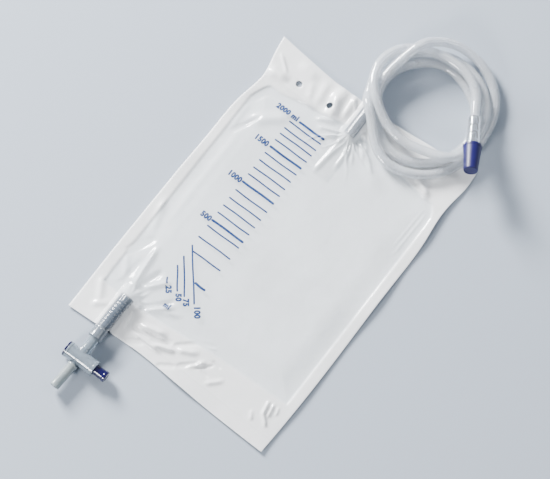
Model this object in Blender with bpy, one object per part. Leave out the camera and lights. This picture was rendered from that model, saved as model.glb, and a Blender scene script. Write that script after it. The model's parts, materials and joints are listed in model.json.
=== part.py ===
"""Two litre urine drainage bag, lying flat with its printed face up.

Frame, in metres: the origin is the centre of the bag's back face, on the surface
that it lies on. +X is the bag's right side seen from the front, +Y points to the
top seal and the inlet, and +Z points out of the front film.

Pieces: two welded films, a two-leaf non-return flap under the inlet, the inlet
tube with its coil, a connector with a push-on cap, and the outlet tube with a
sleeve, a cross valve (body, plunger, two sealing rings) and a drain spout.
"""

import math

import bmesh
import bpy
import numpy as np
from mathutils import Matrix, Vector

# ---------------------------------------------------------------- driving sizes
GAP = 0.0003                    # clearance between pieces that touch

BAG_WIDTH = 0.210
BAG_LENGTH = 0.306
FILM = 0.0004                   # thickness of each film
SIDE_WELD = 0.009
TOP_SEAL = 0.037                # top edge to the top of the pouch
BOTTOM_SEAL = 0.038             # bottom edge to the bottom of the pouch
CROWN = 0.0034                  # clear height inside the empty pouch
CROWN_SLOPE = 0.025             # how far from a weld the crown takes to rise

HOLE_RADIUS = 0.003             # hanging holes in the top seal
HOLE_INNER_X = 0.0345
HOLE_OUTER_X = 0.0680
HOLE_DROP = 0.027               # top edge down to the hole centres

TUBE_RADIUS = 0.0043            # inlet tube, outside
INLET_SHIFT = -0.0048           # inlet tube off the bag's middle line
INLET_DEPTH = 0.0385            # top edge down to the tube's inner end
INLET_LEAD = 0.005              # top edge up to the coil's notch wall
FLAP_WIDTH = 0.020
FLAP_LENGTH = 0.044
FLAP_FILM = 0.0002
POCKET_HEIGHT = 0.004           # the film's puff round the inlet's inner end
POCKET_SPREAD = 0.007

COIL_SHIFT = (0.0365, 0.022)    # coil centre from the middle of the top edge
COIL_OUTER = 0.066
COIL_INNER = 0.035
COIL_HEIGHT = 0.0153
COIL_LIFT = 0.0006              # coil above the top seal

CONNECTOR_REACH = (0.0388, 0.0149)   # connector's socket end from the coil centre
CONNECTOR_LIFT = 0.001               # connector's axis over the coil's top
CONNECTOR_AZIMUTH = math.radians(-58.6)
CONNECTOR_RISE = math.radians(17.7)
CONNECTOR_GRIP = 0.029               # socket end to the cap's mouth
CONNECTOR_WALL = 0.0012
SOCKET_DEPTH = 0.018
TIP_LENGTH = 0.023
TIP_ROOT_RADIUS = 0.0048
TIP_END_RADIUS = 0.0034
TIP_BORE_RADIUS = 0.0024
TUBE_STUB = 0.006                    # tube showing between the coil and the socket

CAP_LENGTH = 0.026
CAP_MOUTH_RADIUS = 0.0085
CAP_END_RADIUS = 0.0062
CAP_WALL = 0.0011
CAP_FILLET = 0.0016

OUTLET_INSET = 0.036                 # left edge in to the outlet's axis
OUTLET_RADIUS = 0.0058
OUTLET_BORE = 0.0042
OUTLET_DEPTH = 0.035                 # bottom edge up to the tube's inner end
OUTLET_TAIL = 0.007                  # bottom edge down to the tube's outer end
SLEEVE_LENGTH = 0.0105               # from the bottom edge down
SLEEVE_TOP_WALL = 0.0005
SLEEVE_RIM_WALL = 0.0010

BARREL_DROP = 0.0318                 # bottom edge down to the barrel's axis
BARREL_RADIUS = 0.0076
BARREL_WALL = 0.0026
BARREL_LEFT = 0.0122                 # outlet's axis to the barrel's two ends
BARREL_RIGHT = 0.0174
STEM_STEP = 0.0002                   # stem's radius under the outlet tube's
NIPPLE_LENGTH = 0.015
FLOW_BORE = 0.0024
NOZZLE_RADIUS = 0.0033
NOZZLE_REACH = 0.020                 # barrel's axis to the nozzle's end
FLOOR_LIFT = 0.0001                  # barrel over the surface that it lies on

PLUNGER_CLEARANCE = 0.0003
PLUNGER_TRAVEL = 0.008
PLUNGER_HEAD = 0.0120                # head standing out of the barrel at rest
PLUNGER_BEAD = 0.0003                # bead at the head's end, over the barrel bore
FLANGE_THICKNESS = 0.0014
FLANGE_STEP = 0.0002                 # flange's radius under the barrel's
WAIST_RADIUS = 0.0026
WAIST_LENGTH = 0.0060
SEAL_LAND = 0.0008                   # waist's shoulder to the seal groove
SEAL_WIDTH = 0.0010
SEAL_DEPTH = 0.0008
SEAL_CLEARANCE = 0.0001

SPOUT_WALL = 0.00115
SPOUT_LENGTH = 0.0250
SPOUT_LEAN = math.radians(3.0)       # the spout's lean towards -X

ROUND = 32                           # sides of a turned piece
BRANCH_SIDES = 30                    # branches of the valve body, off the barrel's facets
COIL_SIDES = 56

# ---------------------------------------------------------------- derived places
TOP_Y = BAG_LENGTH / 2
BOTTOM_Y = -BAG_LENGTH / 2
LEFT_X = -BAG_WIDTH / 2
STACK = 2 * FILM + GAP               # thickness of the two films in a weld

INLET_Z = FILM + GAP + TUBE_RADIUS
INLET_END_Y = TOP_Y - INLET_DEPTH
NOTCH_Y = TOP_Y + INLET_LEAD

OUTLET_X = LEFT_X + OUTLET_INSET
OUTLET_Z = max(BARREL_RADIUS + FLOOR_LIFT, FILM + GAP + OUTLET_RADIUS)
OUTLET_END_Y = BOTTOM_Y + OUTLET_DEPTH
TUBE_TAIL_Y = BOTTOM_Y - OUTLET_TAIL
BARREL_Y = BOTTOM_Y - BARREL_DROP

COIL_CENTRE = Vector((COIL_SHIFT[0], TOP_Y + COIL_SHIFT[1], 0.0))
COIL_BOTTOM = STACK + COIL_LIFT
COIL_TOP = COIL_BOTTOM + COIL_HEIGHT

BARREL_BORE = BARREL_RADIUS - BARREL_WALL
STEM_RADIUS = OUTLET_RADIUS - STEM_STEP
FLANGE_RADIUS = BARREL_RADIUS - FLANGE_STEP

CONNECTOR_RADIUS = TUBE_RADIUS + GAP + CONNECTOR_WALL
CONNECTOR_START = COIL_CENTRE + Vector((*CONNECTOR_REACH, COIL_TOP + CONNECTOR_LIFT))
CONNECTOR_AXIS = Vector((
    math.cos(CONNECTOR_RISE) * math.cos(CONNECTOR_AZIMUTH),
    math.cos(CONNECTOR_RISE) * math.sin(CONNECTOR_AZIMUTH),
    math.sin(CONNECTOR_RISE),
))
SPOUT_AXIS = Vector((-math.sin(SPOUT_LEAN), -math.cos(SPOUT_LEAN), 0.0))


# ---------------------------------------------------------------- shared helpers
def clear_scene():
    """Remove every object of the scene."""
    for obj in list(bpy.data.objects):
        bpy.data.objects.remove(obj, do_unlink=True)


def finish(name, colour, roughness, alpha=1.0):
    """A plastic: its colour, roughness and how much it lets through."""
    material = bpy.data.materials.new(name)
    material.use_nodes = True
    shader = material.node_tree.nodes["Principled BSDF"]
    shader.inputs["Base Color"].default_value = (*colour, 1.0)
    shader.inputs["Roughness"].default_value = roughness
    shader.inputs["Metallic"].default_value = 0.0
    shader.inputs["Alpha"].default_value = alpha
    return material


def add_object(name, mesh, material, matrix=None):
    """Link a mesh or curve as a named object."""
    obj = bpy.data.objects.new(name, mesh)
    bpy.context.scene.collection.objects.link(obj)
    if material:
        mesh.materials.append(material)
    if matrix:
        obj.matrix_world = matrix
    return obj


def as_helper(obj):
    """Keep a cutter or an operand out of the model."""
    obj.hide_render = True
    obj.display_type = "WIRE"
    return obj


def combine(obj, other, operation):
    """Join a helper to an object, or cut it out."""
    modifier = obj.modifiers.new(other.name, "BOOLEAN")
    modifier.operation = operation
    modifier.solver = "EXACT"
    modifier.object = other


def along(origin, direction):
    """Matrix that puts local Z on an axis, at its start."""
    turn = Vector(direction).to_track_quat("Z", "Y").to_matrix().to_4x4()
    return Matrix.Translation(origin) @ turn


def turned(name, profile, material, matrix, sides=ROUND):
    """Solid of revolution about local Z.

    The profile is a closed loop of (radius, height) points. A point of radius 0
    becomes one vertex on the axis.
    """
    bm = bmesh.new()
    rings = []
    for radius, height in profile:
        if radius == 0:
            rings.append([bm.verts.new((0, 0, height))] * sides)
            continue
        angles = (2 * math.pi * i / sides for i in range(sides))
        rings.append([bm.verts.new((radius * math.cos(a), radius * math.sin(a), height)) for a in angles])
    for ring, following in zip(rings, rings[1:] + rings[:1]):
        for i in range(sides):
            j = (i + 1) % sides
            corners = list(dict.fromkeys((ring[i], ring[j], following[j], following[i])))
            if len(corners) > 2:
                bm.faces.new(corners)
    bmesh.ops.recalc_face_normals(bm, faces=bm.faces)
    mesh = bpy.data.meshes.new(name)
    bm.to_mesh(mesh)
    bm.free()
    mesh.shade_smooth()
    mesh.set_sharp_from_angle(angle=math.radians(35))
    return add_object(name, mesh, material, matrix)


def cylinder(name, radius, start, end, sides=ROUND):
    """Plain solid cylinder, a cutter or an operand, between two points."""
    start, end = Vector(start), Vector(end)
    length = (end - start).length
    profile = [(0, 0), (radius, 0), (radius, length), (0, length)]
    return as_helper(turned(name, profile, None, along(start, end - start), sides))


def block(name, low, high, material=None):
    """Box between two corners."""
    bm = bmesh.new()
    bmesh.ops.create_cube(bm, size=1.0)
    low, high = Vector(low), Vector(high)
    bmesh.ops.scale(bm, vec=high - low, verts=bm.verts)
    bmesh.ops.translate(bm, vec=(low + high) / 2, verts=bm.verts)
    mesh = bpy.data.meshes.new(name)
    bm.to_mesh(mesh)
    bm.free()
    return add_object(name, mesh, material)


def hose(name, points, material):
    """Solid tube of the inlet tube's outside diameter along a route."""
    curve = bpy.data.curves.new(name, "CURVE")
    curve.dimensions = "3D"
    curve.bevel_depth = TUBE_RADIUS
    curve.bevel_resolution = 4
    curve.use_fill_caps = True
    spline = curve.splines.new("POLY")
    spline.points.add(len(points) - 1)
    for point, place in zip(spline.points, points):
        point.co = (*place, 1.0)
    return add_object(name, curve, material)


def rise(distance, run):
    """0 at a weld, 1 from run away, with no kink at either end."""
    t = np.clip(distance / run, 0, 1)
    return t * t * (3 - 2 * t)


# ---------------------------------------------------------------- films
def hole_centres():
    """Hanging holes, two on each side of the inlet."""
    y = TOP_Y - HOLE_DROP
    return [(side * x, y) for side in (-1, 1) for x in (HOLE_INNER_X, HOLE_OUTER_X)]


def punch_holes(sheet):
    """Cut the hanging holes out of a film."""
    for i, (x, y) in enumerate(hole_centres()):
        cutter = cylinder(f"{sheet.name}_punch_{i}", HOLE_RADIUS, (x, y, -0.005), (x, y, 0.005))
        combine(sheet, cutter, "DIFFERENCE")


def tent(offset, radius, axis_z):
    """Film's inner height over a tube: an arc round it, then straight to the weld.

    The film leaves the tube at 60 degrees and falls at the same slope.
    """
    reach = radius + GAP
    height = axis_z - FILM
    d = np.abs(offset)
    leave = math.radians(60)
    arc = height + np.sqrt(np.maximum(reach**2 - d**2, 0))
    line = height + reach * math.cos(leave) - (d - reach * math.sin(leave)) * math.tan(leave)
    return np.where(d < reach * math.sin(leave), arc, line)


def tent_columns(radius, axis_x, axis_z):
    """X values that a tunnel's arc and its foot need."""
    reach = radius + GAP
    half = [reach * math.sin(math.radians(15 * i)) for i in range(5)]
    foot = half[-1] + (axis_z - FILM + reach / 2) / math.tan(math.radians(60))
    return [axis_x + side * d for side in (-1, 1) for d in (*half, foot)]


def film_height(x, y):
    """Inner height of the front film over the back one."""
    pouch_half = BAG_WIDTH / 2 - SIDE_WELD
    across = rise(pouch_half - np.abs(x), CROWN_SLOPE)
    down = rise(TOP_Y - TOP_SEAL - y, CROWN_SLOPE) * rise(y - BOTTOM_Y - BOTTOM_SEAL, CROWN_SLOPE)
    height = GAP + (CROWN - GAP) * across * down
    from_inlet = ((x - INLET_SHIFT) ** 2 + (y - INLET_END_Y + POCKET_SPREAD) ** 2) / POCKET_SPREAD**2
    height = height + POCKET_HEIGHT * np.exp(-from_inlet / 2)
    inlet = tent(x - INLET_SHIFT, TUBE_RADIUS, INLET_Z)
    outlet = tent(x - OUTLET_X, OUTLET_RADIUS, OUTLET_Z)
    inlet_fade = rise(y - INLET_END_Y + CROWN_SLOPE, CROWN_SLOPE - 2 * GAP)
    outlet_fade = rise(OUTLET_END_Y + CROWN_SLOPE - y, CROWN_SLOPE - 2 * GAP)
    height = np.maximum(height, height + (inlet - height) * inlet_fade)
    return np.maximum(height, height + (outlet - height) * outlet_fade)


def grid_lines(low, high, count, extra):
    """Even grid lines with extra ones put in, none closer than half a millimetre."""
    lines = sorted({*extra, *np.linspace(low, high, count)})
    kept = [low]
    fixed = set(extra)
    for value in lines:
        if value - kept[-1] > 0.0005 and low < value < high:
            kept.append(value)
        elif value in fixed and len(kept) > 1:
            kept[-1] = value
    return np.array([*kept, high])


def build_films():
    """The opaque back film and the clear front film, welded all round."""
    white = finish("white_film", (0.93, 0.95, 0.97), 0.35)
    clear = finish("clear_film", (0.86, 0.90, 0.93), 0.25, alpha=0.55)
    back = block("back_sheet", (LEFT_X, BOTTOM_Y, 0), (-LEFT_X, TOP_Y, FILM), white)
    punch_holes(back)

    columns = grid_lines(LEFT_X, -LEFT_X, 17, [
        *tent_columns(TUBE_RADIUS, INLET_SHIFT, INLET_Z),
        *tent_columns(OUTLET_RADIUS, OUTLET_X, OUTLET_Z),
    ])
    fades = np.linspace(0, CROWN_SLOPE, 6)
    rows = grid_lines(BOTTOM_Y, TOP_Y, 17, [*(INLET_END_Y - fades), *(OUTLET_END_Y + fades)])
    x, y = np.meshgrid(columns, rows)
    z = FILM + film_height(x, y)
    wide = len(columns)
    quads = [
        (j * wide + i, j * wide + i + 1, (j + 1) * wide + i + 1, (j + 1) * wide + i)
        for j in range(len(rows) - 1)
        for i in range(wide - 1)
    ]
    mesh = bpy.data.meshes.new("front_sheet")
    mesh.from_pydata(np.stack([x, y, z], axis=-1).reshape(-1, 3).tolist(), [], quads)
    mesh.shade_smooth()
    front = add_object("front_sheet", mesh, clear)
    wall = front.modifiers.new("film", "SOLIDIFY")
    wall.thickness = FILM
    wall.offset = 1.0
    punch_holes(front)


def build_flaps():
    """Two soft leaves under the inlet that close against backflow."""
    film = finish("flap_film", (0.90, 0.93, 0.95), 0.3, alpha=0.6)
    base = FILM + GAP
    top = INLET_END_Y - GAP
    for name, z in (("reflux_flap_back", base), ("reflux_flap_front", base + FLAP_FILM + GAP)):
        low = (INLET_SHIFT - FLAP_WIDTH / 2, top - FLAP_LENGTH, z)
        high = (INLET_SHIFT + FLAP_WIDTH / 2, top, z + FLAP_FILM)
        block(name, low, high, film)


# ---------------------------------------------------------------- inlet tube
def connector_place(distance):
    """Point on the connector's axis."""
    return CONNECTOR_START + CONNECTOR_AXIS * distance


def build_inlet():
    """Inlet tube: its straight start, the coil's outer shape, and its end in the socket."""
    milky = finish("milky_pvc", (0.72, 0.76, 0.80), 0.3, alpha=0.8)
    middle = (INLET_END_Y + NOTCH_Y) / 2
    hose("inlet_tube", [(INLET_SHIFT, y, INLET_Z) for y in (INLET_END_Y, middle, NOTCH_Y - GAP)], milky)
    stub = [connector_place(d) for d in (GAP - TUBE_STUB, SOCKET_DEPTH / 3, SOCKET_DEPTH - GAP)]
    hose("inlet_tube_end", stub, milky)

    corner = TUBE_RADIUS
    arcs = (
        (COIL_OUTER - corner, COIL_BOTTOM + corner, -90),
        (COIL_OUTER - corner, COIL_TOP - corner, 0),
        (COIL_INNER + corner, COIL_TOP - corner, 90),
        (COIL_INNER + corner, COIL_BOTTOM + corner, 180),
    )
    profile = [
        (r + corner * math.cos(math.radians(start + step)), z + corner * math.sin(math.radians(start + step)))
        for r, z, start in arcs
        for step in (0, 30, 60, 90)
    ]
    coil = turned("inlet_coil", profile, milky, Matrix.Translation(COIL_CENTRE), COIL_SIDES)

    tube_top = INLET_Z + TUBE_RADIUS + 2 * GAP + FILM
    tunnel = TUBE_RADIUS + INLET_Z
    low_y = TOP_Y - TOP_SEAL
    notches = (
        ("tunnel_notch", tunnel, tube_top + GAP),
        ("pocket_notch", tunnel + POCKET_SPREAD, STACK + POCKET_HEIGHT / 2),
    )
    for name, half, top in notches:
        low = (INLET_SHIFT - half, low_y, -COIL_TOP)
        high = (INLET_SHIFT + half, NOTCH_Y, top)
        combine(coil, as_helper(block(name, low, high)), "DIFFERENCE")

    grip = CONNECTOR_RADIUS + 5 * GAP
    cap = CAP_MOUTH_RADIUS + 2 * GAP
    bed = [
        (0, -TUBE_STUB), (TUBE_RADIUS + GAP, -TUBE_STUB), (TUBE_RADIUS + GAP, -GAP), (grip, -GAP),
        (grip, CONNECTOR_GRIP - GAP), (cap, CONNECTOR_GRIP - GAP), (cap, COIL_OUTER), (0, COIL_OUTER),
    ]
    cutter = turned("connector_bed", bed, None, along(CONNECTOR_START, CONNECTOR_AXIS))
    combine(coil, as_helper(cutter), "DIFFERENCE")


def build_connector():
    """Clear stepped connector bonded to the tube's end: socket, grip rings, tapered tip."""
    clear = finish("clear_plastic", (0.86, 0.88, 0.90), 0.08, alpha=0.5)
    r = CONNECTOR_RADIUS
    rim = r + 3 * GAP
    socket = TUBE_RADIUS + GAP
    tip_end = CONNECTOR_GRIP + TIP_LENGTH
    profile = [
        (socket, 0), (r - CONNECTOR_WALL / 2, 0), (r, 0.0012), (r, 0.0080), (r - 0.0004, 0.0086),
        (r - 0.0004, 0.0096), (r + 0.0002, 0.0104), (r + 0.0004, 0.0230), (r, 0.0240), (r, 0.0260),
        (rim, 0.0268), (rim, CONNECTOR_GRIP - 0.0006), (TIP_ROOT_RADIUS, CONNECTOR_GRIP),
        (TIP_END_RADIUS, tip_end), (TIP_BORE_RADIUS, tip_end), (TIP_BORE_RADIUS, SOCKET_DEPTH),
        (socket, SOCKET_DEPTH),
    ]
    turned("connector", profile, clear, along(CONNECTOR_START, CONNECTOR_AXIS))


def build_cap():
    """Tapered push-on cap, with its origin on its own axis at its mouth."""
    navy = finish("navy_plastic", (0.02, 0.01, 0.33), 0.25)
    length = CAP_LENGTH
    end = CAP_END_RADIUS
    fillet = [
        (end - CAP_FILLET + CAP_FILLET * math.cos(a), length - CAP_FILLET + CAP_FILLET * math.sin(a))
        for a in (math.radians(step) for step in (0, 30, 60, 90))
    ]
    profile = [
        (CAP_MOUTH_RADIUS - CAP_WALL, 0), (CAP_MOUTH_RADIUS, 0), *fillet, (0, length),
        (0, length - 2 * CAP_WALL), (end - CAP_WALL, length - 2 * CAP_WALL),
    ]
    turned("connector_cap", profile, navy, along(connector_place(CONNECTOR_GRIP + GAP), CONNECTOR_AXIS))


# ---------------------------------------------------------------- outlet
def tube_profile(outer_start, outer_end, bore, length):
    """Profile loop of a plain or tapered tube."""
    return [(bore, 0), (outer_start, 0), (outer_end, length), (bore, length)]


def build_outlet():
    """Outlet tube through the bottom seal, and the sleeve over its joint."""
    milky = finish("outlet_pvc", (0.66, 0.70, 0.74), 0.3, alpha=0.8)
    down = Vector((0, -1, 0))
    start = Vector((OUTLET_X, OUTLET_END_Y, OUTLET_Z))
    length = OUTLET_END_Y - TUBE_TAIL_Y
    turned("outlet_tube", tube_profile(OUTLET_RADIUS, OUTLET_RADIUS, OUTLET_BORE, length), milky, along(start, down))
    start = Vector((OUTLET_X, BOTTOM_Y - GAP, OUTLET_Z))
    bore = OUTLET_RADIUS + GAP
    profile = tube_profile(bore + SLEEVE_TOP_WALL, bore + SLEEVE_RIM_WALL, bore, SLEEVE_LENGTH)
    turned("outlet_sleeve", profile, milky, along(start, down))


def build_valve_body():
    """Cross valve body: barrel, stem with its nipple, and nozzle in one moulding."""
    clear = finish("valve_plastic", (0.80, 0.85, 0.88), 0.15, alpha=0.75)
    centre = Vector((OUTLET_X, BARREL_Y, OUTLET_Z))
    left = centre - Vector((BARREL_LEFT, 0, 0))
    length = BARREL_LEFT + BARREL_RIGHT
    chamfer = GAP
    r = BARREL_RADIUS
    profile = [(0, 0), (r - chamfer, 0), (r, chamfer), (r, length - chamfer), (r - chamfer, length), (0, length)]
    body = turned("valve_body", profile, clear, along(left, (1, 0, 0)))

    stem_top = TUBE_TAIL_Y - GAP - BARREL_Y
    nipple = OUTLET_BORE - GAP
    inside = BARREL_BORE / 2
    stem = [(0, inside), (STEM_RADIUS, inside), (STEM_RADIUS, stem_top), (nipple, stem_top),
            (nipple, stem_top + NIPPLE_LENGTH), (0, stem_top + NIPPLE_LENGTH)]
    combine(body, as_helper(turned("stem", stem, None, along(centre, (0, 1, 0)), BRANCH_SIDES)), "UNION")
    nozzle = [(0, inside), (NOZZLE_RADIUS, inside), (NOZZLE_RADIUS, NOZZLE_REACH), (0, NOZZLE_REACH)]
    combine(body, as_helper(turned("nozzle", nozzle, None, along(centre, SPOUT_AXIS), BRANCH_SIDES)), "UNION")

    over = Vector((BARREL_RIGHT, 0, 0))
    combine(body, cylinder("barrel_bore", BARREL_BORE, left - over, centre + 2 * over), "DIFFERENCE")
    top = centre + Vector((0, stem_top + 2 * NIPPLE_LENGTH, 0))
    combine(body, cylinder("stem_bore", FLOW_BORE, centre, top, BRANCH_SIDES), "DIFFERENCE")
    outlet = centre + 2 * NOZZLE_REACH * SPOUT_AXIS
    combine(body, cylinder("nozzle_bore", FLOW_BORE, centre, outlet, BRANCH_SIDES), "DIFFERENCE")


def build_plunger():
    """Push-pull plunger and its two sealing rings, with origins on the barrel's axis.

    At rest the flange is against the barrel's left end and the full rod covers
    the flow bore. Pushed in by its travel, the waist opens the way through.
    """
    navy = finish("plunger_navy", (0.02, 0.01, 0.28), 0.2)
    rubber = finish("seal_rubber", (0.25, 0.26, 0.28), 0.6)
    rod = BARREL_BORE - PLUNGER_CLEARANCE
    bead = BARREL_BORE + PLUNGER_BEAD
    groove = rod - SEAL_DEPTH - PLUNGER_CLEARANCE
    end = BARREL_LEFT + GAP + BARREL_RIGHT + PLUNGER_HEAD
    waist = BARREL_LEFT + GAP + PLUNGER_TRAVEL
    groove_width = SEAL_WIDTH + 2 * GAP
    shoulder = WAIST_LENGTH / 2
    near = shoulder + SEAL_LAND
    far = near + groove_width
    profile = [
        (0, -FLANGE_THICKNESS), (FLANGE_RADIUS - GAP, -FLANGE_THICKNESS), (FLANGE_RADIUS, GAP - FLANGE_THICKNESS),
        (FLANGE_RADIUS, 0), (rod, 0),
        (rod, waist - far), (groove, waist - far), (groove, waist - near), (rod, waist - near),
        (rod, waist - shoulder), (WAIST_RADIUS, waist - shoulder),
        (WAIST_RADIUS, waist + shoulder), (rod, waist + shoulder),
        (rod, waist + near), (groove, waist + near), (groove, waist + far), (rod, waist + far),
        (rod, end - 0.0030), (bead, end - 0.0022), (bead, end - 0.0008), (bead - 0.0008, end), (0, end),
    ]
    start = Vector((OUTLET_X - BARREL_LEFT - GAP, BARREL_Y, OUTLET_Z))
    turned("valve_plunger", profile, navy, along(start, (1, 0, 0)))
    outer = BARREL_BORE - SEAL_CLEARANCE
    inner = groove + GAP
    for name, place in (("plunger_seal_inner", waist - far + GAP), ("plunger_seal_outer", waist + near + GAP)):
        origin = start + Vector((place, 0, 0))
        turned(name, tube_profile(outer, outer, inner, SEAL_WIDTH), rubber, along(origin, (1, 0, 0)))


def build_spout():
    """Soft drain spout pushed over the nozzle."""
    milky = finish("spout_pvc", (0.78, 0.82, 0.84), 0.3, alpha=0.8)
    start = Vector((OUTLET_X, BARREL_Y, OUTLET_Z)) + SPOUT_AXIS * (BARREL_RADIUS + 2 * GAP)
    bore = NOZZLE_RADIUS + GAP
    profile = tube_profile(bore + SPOUT_WALL, bore + SPOUT_WALL, bore, SPOUT_LENGTH)
    turned("drain_spout", profile, milky, along(start, SPOUT_AXIS))


clear_scene()
build_films()
build_flaps()
build_inlet()
build_connector()
build_cap()
build_outlet()
build_valve_body()
build_plunger()
build_spout()
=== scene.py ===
"""Looks of a two litre urine drainage bag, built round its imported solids.

The bag lies on its back film. Lengths are in metres, in the frame of the solids:
+X is the bag's right side, +Y points to the inlet and +Z out of the front film.
Places read off the bag itself are written in millimetres and scaled by MM.
Each sub-assembly is a class that holds its sizes and builds its own pieces, and
each finish is a small class that builds its own material.
"""

import json
import logging
import math
from collections.abc import Callable
from dataclasses import dataclass
from enum import Enum

import bmesh
import bpy
import numpy as np
from mathutils import Matrix, Vector


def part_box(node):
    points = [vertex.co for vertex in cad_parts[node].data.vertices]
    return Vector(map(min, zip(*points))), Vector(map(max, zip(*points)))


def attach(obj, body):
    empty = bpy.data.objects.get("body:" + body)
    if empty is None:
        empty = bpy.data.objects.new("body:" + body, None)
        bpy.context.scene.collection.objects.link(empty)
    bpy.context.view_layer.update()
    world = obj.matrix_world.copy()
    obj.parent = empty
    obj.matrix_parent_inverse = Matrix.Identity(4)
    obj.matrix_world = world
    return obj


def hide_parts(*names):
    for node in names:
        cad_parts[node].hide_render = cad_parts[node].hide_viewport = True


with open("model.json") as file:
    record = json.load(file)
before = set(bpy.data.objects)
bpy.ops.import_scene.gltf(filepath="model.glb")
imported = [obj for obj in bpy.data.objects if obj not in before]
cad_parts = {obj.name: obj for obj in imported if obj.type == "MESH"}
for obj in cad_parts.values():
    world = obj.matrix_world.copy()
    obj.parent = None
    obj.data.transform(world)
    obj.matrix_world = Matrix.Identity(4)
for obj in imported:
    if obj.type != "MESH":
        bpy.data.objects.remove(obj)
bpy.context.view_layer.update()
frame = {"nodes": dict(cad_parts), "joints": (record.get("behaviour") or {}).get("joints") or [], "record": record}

LOG = logging.getLogger("drainage_bag")
MM = 0.001
Colour = tuple[float, float, float]
Corner = tuple[float, float, float]
Stations = tuple[tuple[float, float], ...]
Heights = Callable[[np.ndarray, np.ndarray], np.ndarray]


class Body(Enum):
    """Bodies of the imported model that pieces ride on."""

    BAG = "bag"
    PLUNGER = "plunger"
    CAP = "cap"


# ------------------------------------------------------------------ shader graphs
class Signal:
    """A number in a shader graph; arithmetic on it adds Math nodes."""

    def __init__(self, graph: "Graph", socket: bpy.types.NodeSocket) -> None:
        """Wrap an output socket.

        Args:
            graph: the graph that the socket belongs to.
            socket: the output that carries the number.
        """
        self.graph = graph
        self.socket = socket

    def _math(self, operation: str, first: object, second: object) -> "Signal":
        """Result of one Math node."""
        node = self.graph.node("ShaderNodeMath", {"operation": operation}, {0: first, 1: second})
        return Signal(self.graph, node.outputs[0])

    def __add__(self, other: object) -> "Signal":
        """This number plus another."""
        return self._math("ADD", self, other)

    __radd__ = __add__

    def __mul__(self, other: object) -> "Signal":
        """This number times another."""
        return self._math("MULTIPLY", self, other)

    __rmul__ = __mul__

    def __rsub__(self, other: object) -> "Signal":
        """Another number less this one."""
        return self._math("SUBTRACT", other, self)


class Graph:
    """Shader graph of one material."""

    def __init__(self, name: str) -> None:
        """Start a material with its Principled shader.

        Args:
            name: the material's name.
        """
        self.material = bpy.data.materials.new(name)
        self.material.use_nodes = True
        self.tree = self.material.node_tree
        self.shader = self.tree.nodes["Principled BSDF"]
        self.place = self.node("ShaderNodeTexCoord", {}, {}).outputs["Object"]

    def node(self, kind: str, settings: dict, inputs: dict) -> bpy.types.Node:
        """Add one node.

        Args:
            kind: the node's type.
            settings: properties set before anything is linked.
            inputs: value, socket or Signal for each input, by name or index.

        Returns:
            The new node.
        """
        made = self.tree.nodes.new(kind)
        for key, value in settings.items():
            setattr(made, key, value)
        for key, value in inputs.items():
            self.feed(made.inputs[key], value)
        return made

    def feed(self, socket: bpy.types.NodeSocket, value: object) -> None:
        """Link a Signal or a socket to an input, or set its value."""
        if isinstance(value, Signal):
            self.tree.links.new(value.socket, socket)
        elif isinstance(value, bpy.types.NodeSocket):
            self.tree.links.new(value, socket)
        else:
            socket.default_value = value

    def noise(self, scale: float, detail: float) -> Signal:
        """Smooth noise on Object coordinates.

        Args:
            scale: cells in a metre.
            detail: octaves.

        Returns:
            The noise, about 0.5 on average.
        """
        made = self.node("ShaderNodeTexNoise", {}, {
            "Vector": self.place, "Scale": scale, "Detail": detail, "Roughness": 0.55,
        })
        return Signal(self, made.outputs["Fac"])

    def attribute(self, name: str) -> Signal:
        """Number stored on the mesh's points."""
        made = self.node("ShaderNodeAttribute", {"attribute_name": name}, {})
        return Signal(self, made.outputs["Fac"])

    def mix(self, factor: object, first: object, second: object) -> bpy.types.NodeSocket:
        """Blend of two colours.

        Args:
            factor: 0 gives the first colour and 1 the second.
            first: colour or socket.
            second: colour or socket.

        Returns:
            The blended colour's socket.
        """
        made = self.node("ShaderNodeMix", {"data_type": "RGBA"}, {0: factor, 6: first, 7: second})
        return made.outputs[2]

    def between(self, value: Signal, low: float, high: float) -> Signal:
        """Value mapped from low..high to 0..1, with soft ends."""
        made = self.node("ShaderNodeMapRange", {"interpolation_type": "SMOOTHSTEP"}, {
            "Value": value, "From Min": low, "From Max": high,
        })
        return Signal(self, made.outputs[0])

    def bump(self, height: Signal, depth: float) -> None:
        """Send a height to the shader's normal.

        Args:
            height: 0 to 1.
            depth: what 1 is worth, in metres.
        """
        made = self.node("ShaderNodeBump", {}, {"Strength": 1.0, "Distance": depth, "Height": height})
        self.feed(self.shader.inputs["Normal"], made.outputs[0])

    def set(self, **values: object) -> None:
        """Set the shader's inputs, with _ for each space of a name."""
        for key, value in values.items():
            self.feed(self.shader.inputs[key.replace("_", " ")], value)


def rgba(colour: Colour) -> tuple[float, float, float, float]:
    """Opaque colour of four numbers."""
    return (*colour, 1.0)


@dataclass(frozen=True)
class Moulded:
    """Moulded or extruded plastic: cloudy tint, fine flow lines and a glossy skin."""

    name: str
    colour: Colour
    shade: Colour
    roughness: float
    alpha: float = 1.0
    coat: float = 0.3
    transmission: float = 0.0
    cloud: float = 90.0
    grain: float = 900.0
    grain_depth: float = 0.00003

    def build(self) -> bpy.types.Material:
        """Make the material.

        Returns:
            The finished material.
        """
        graph = Graph(self.name)
        cloud = graph.between(graph.noise(self.cloud, 4), 0.3, 0.7)
        grain = graph.noise(self.grain, 2)
        graph.set(
            Base_Color=graph.mix(cloud, rgba(self.colour), rgba(self.shade)),
            Roughness=self.roughness * (0.75 + 0.5 * grain),
            Coat_Weight=self.coat,
            Coat_Roughness=0.04,
            Transmission_Weight=self.transmission,
            IOR=1.48,
        )
        if self.alpha < 1:
            graph.set(Alpha=self.alpha * (0.9 + 0.2 * cloud))
        graph.bump(grain + 0.5 * graph.noise(self.grain / 6, 2), self.grain_depth)
        return graph.material


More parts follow.
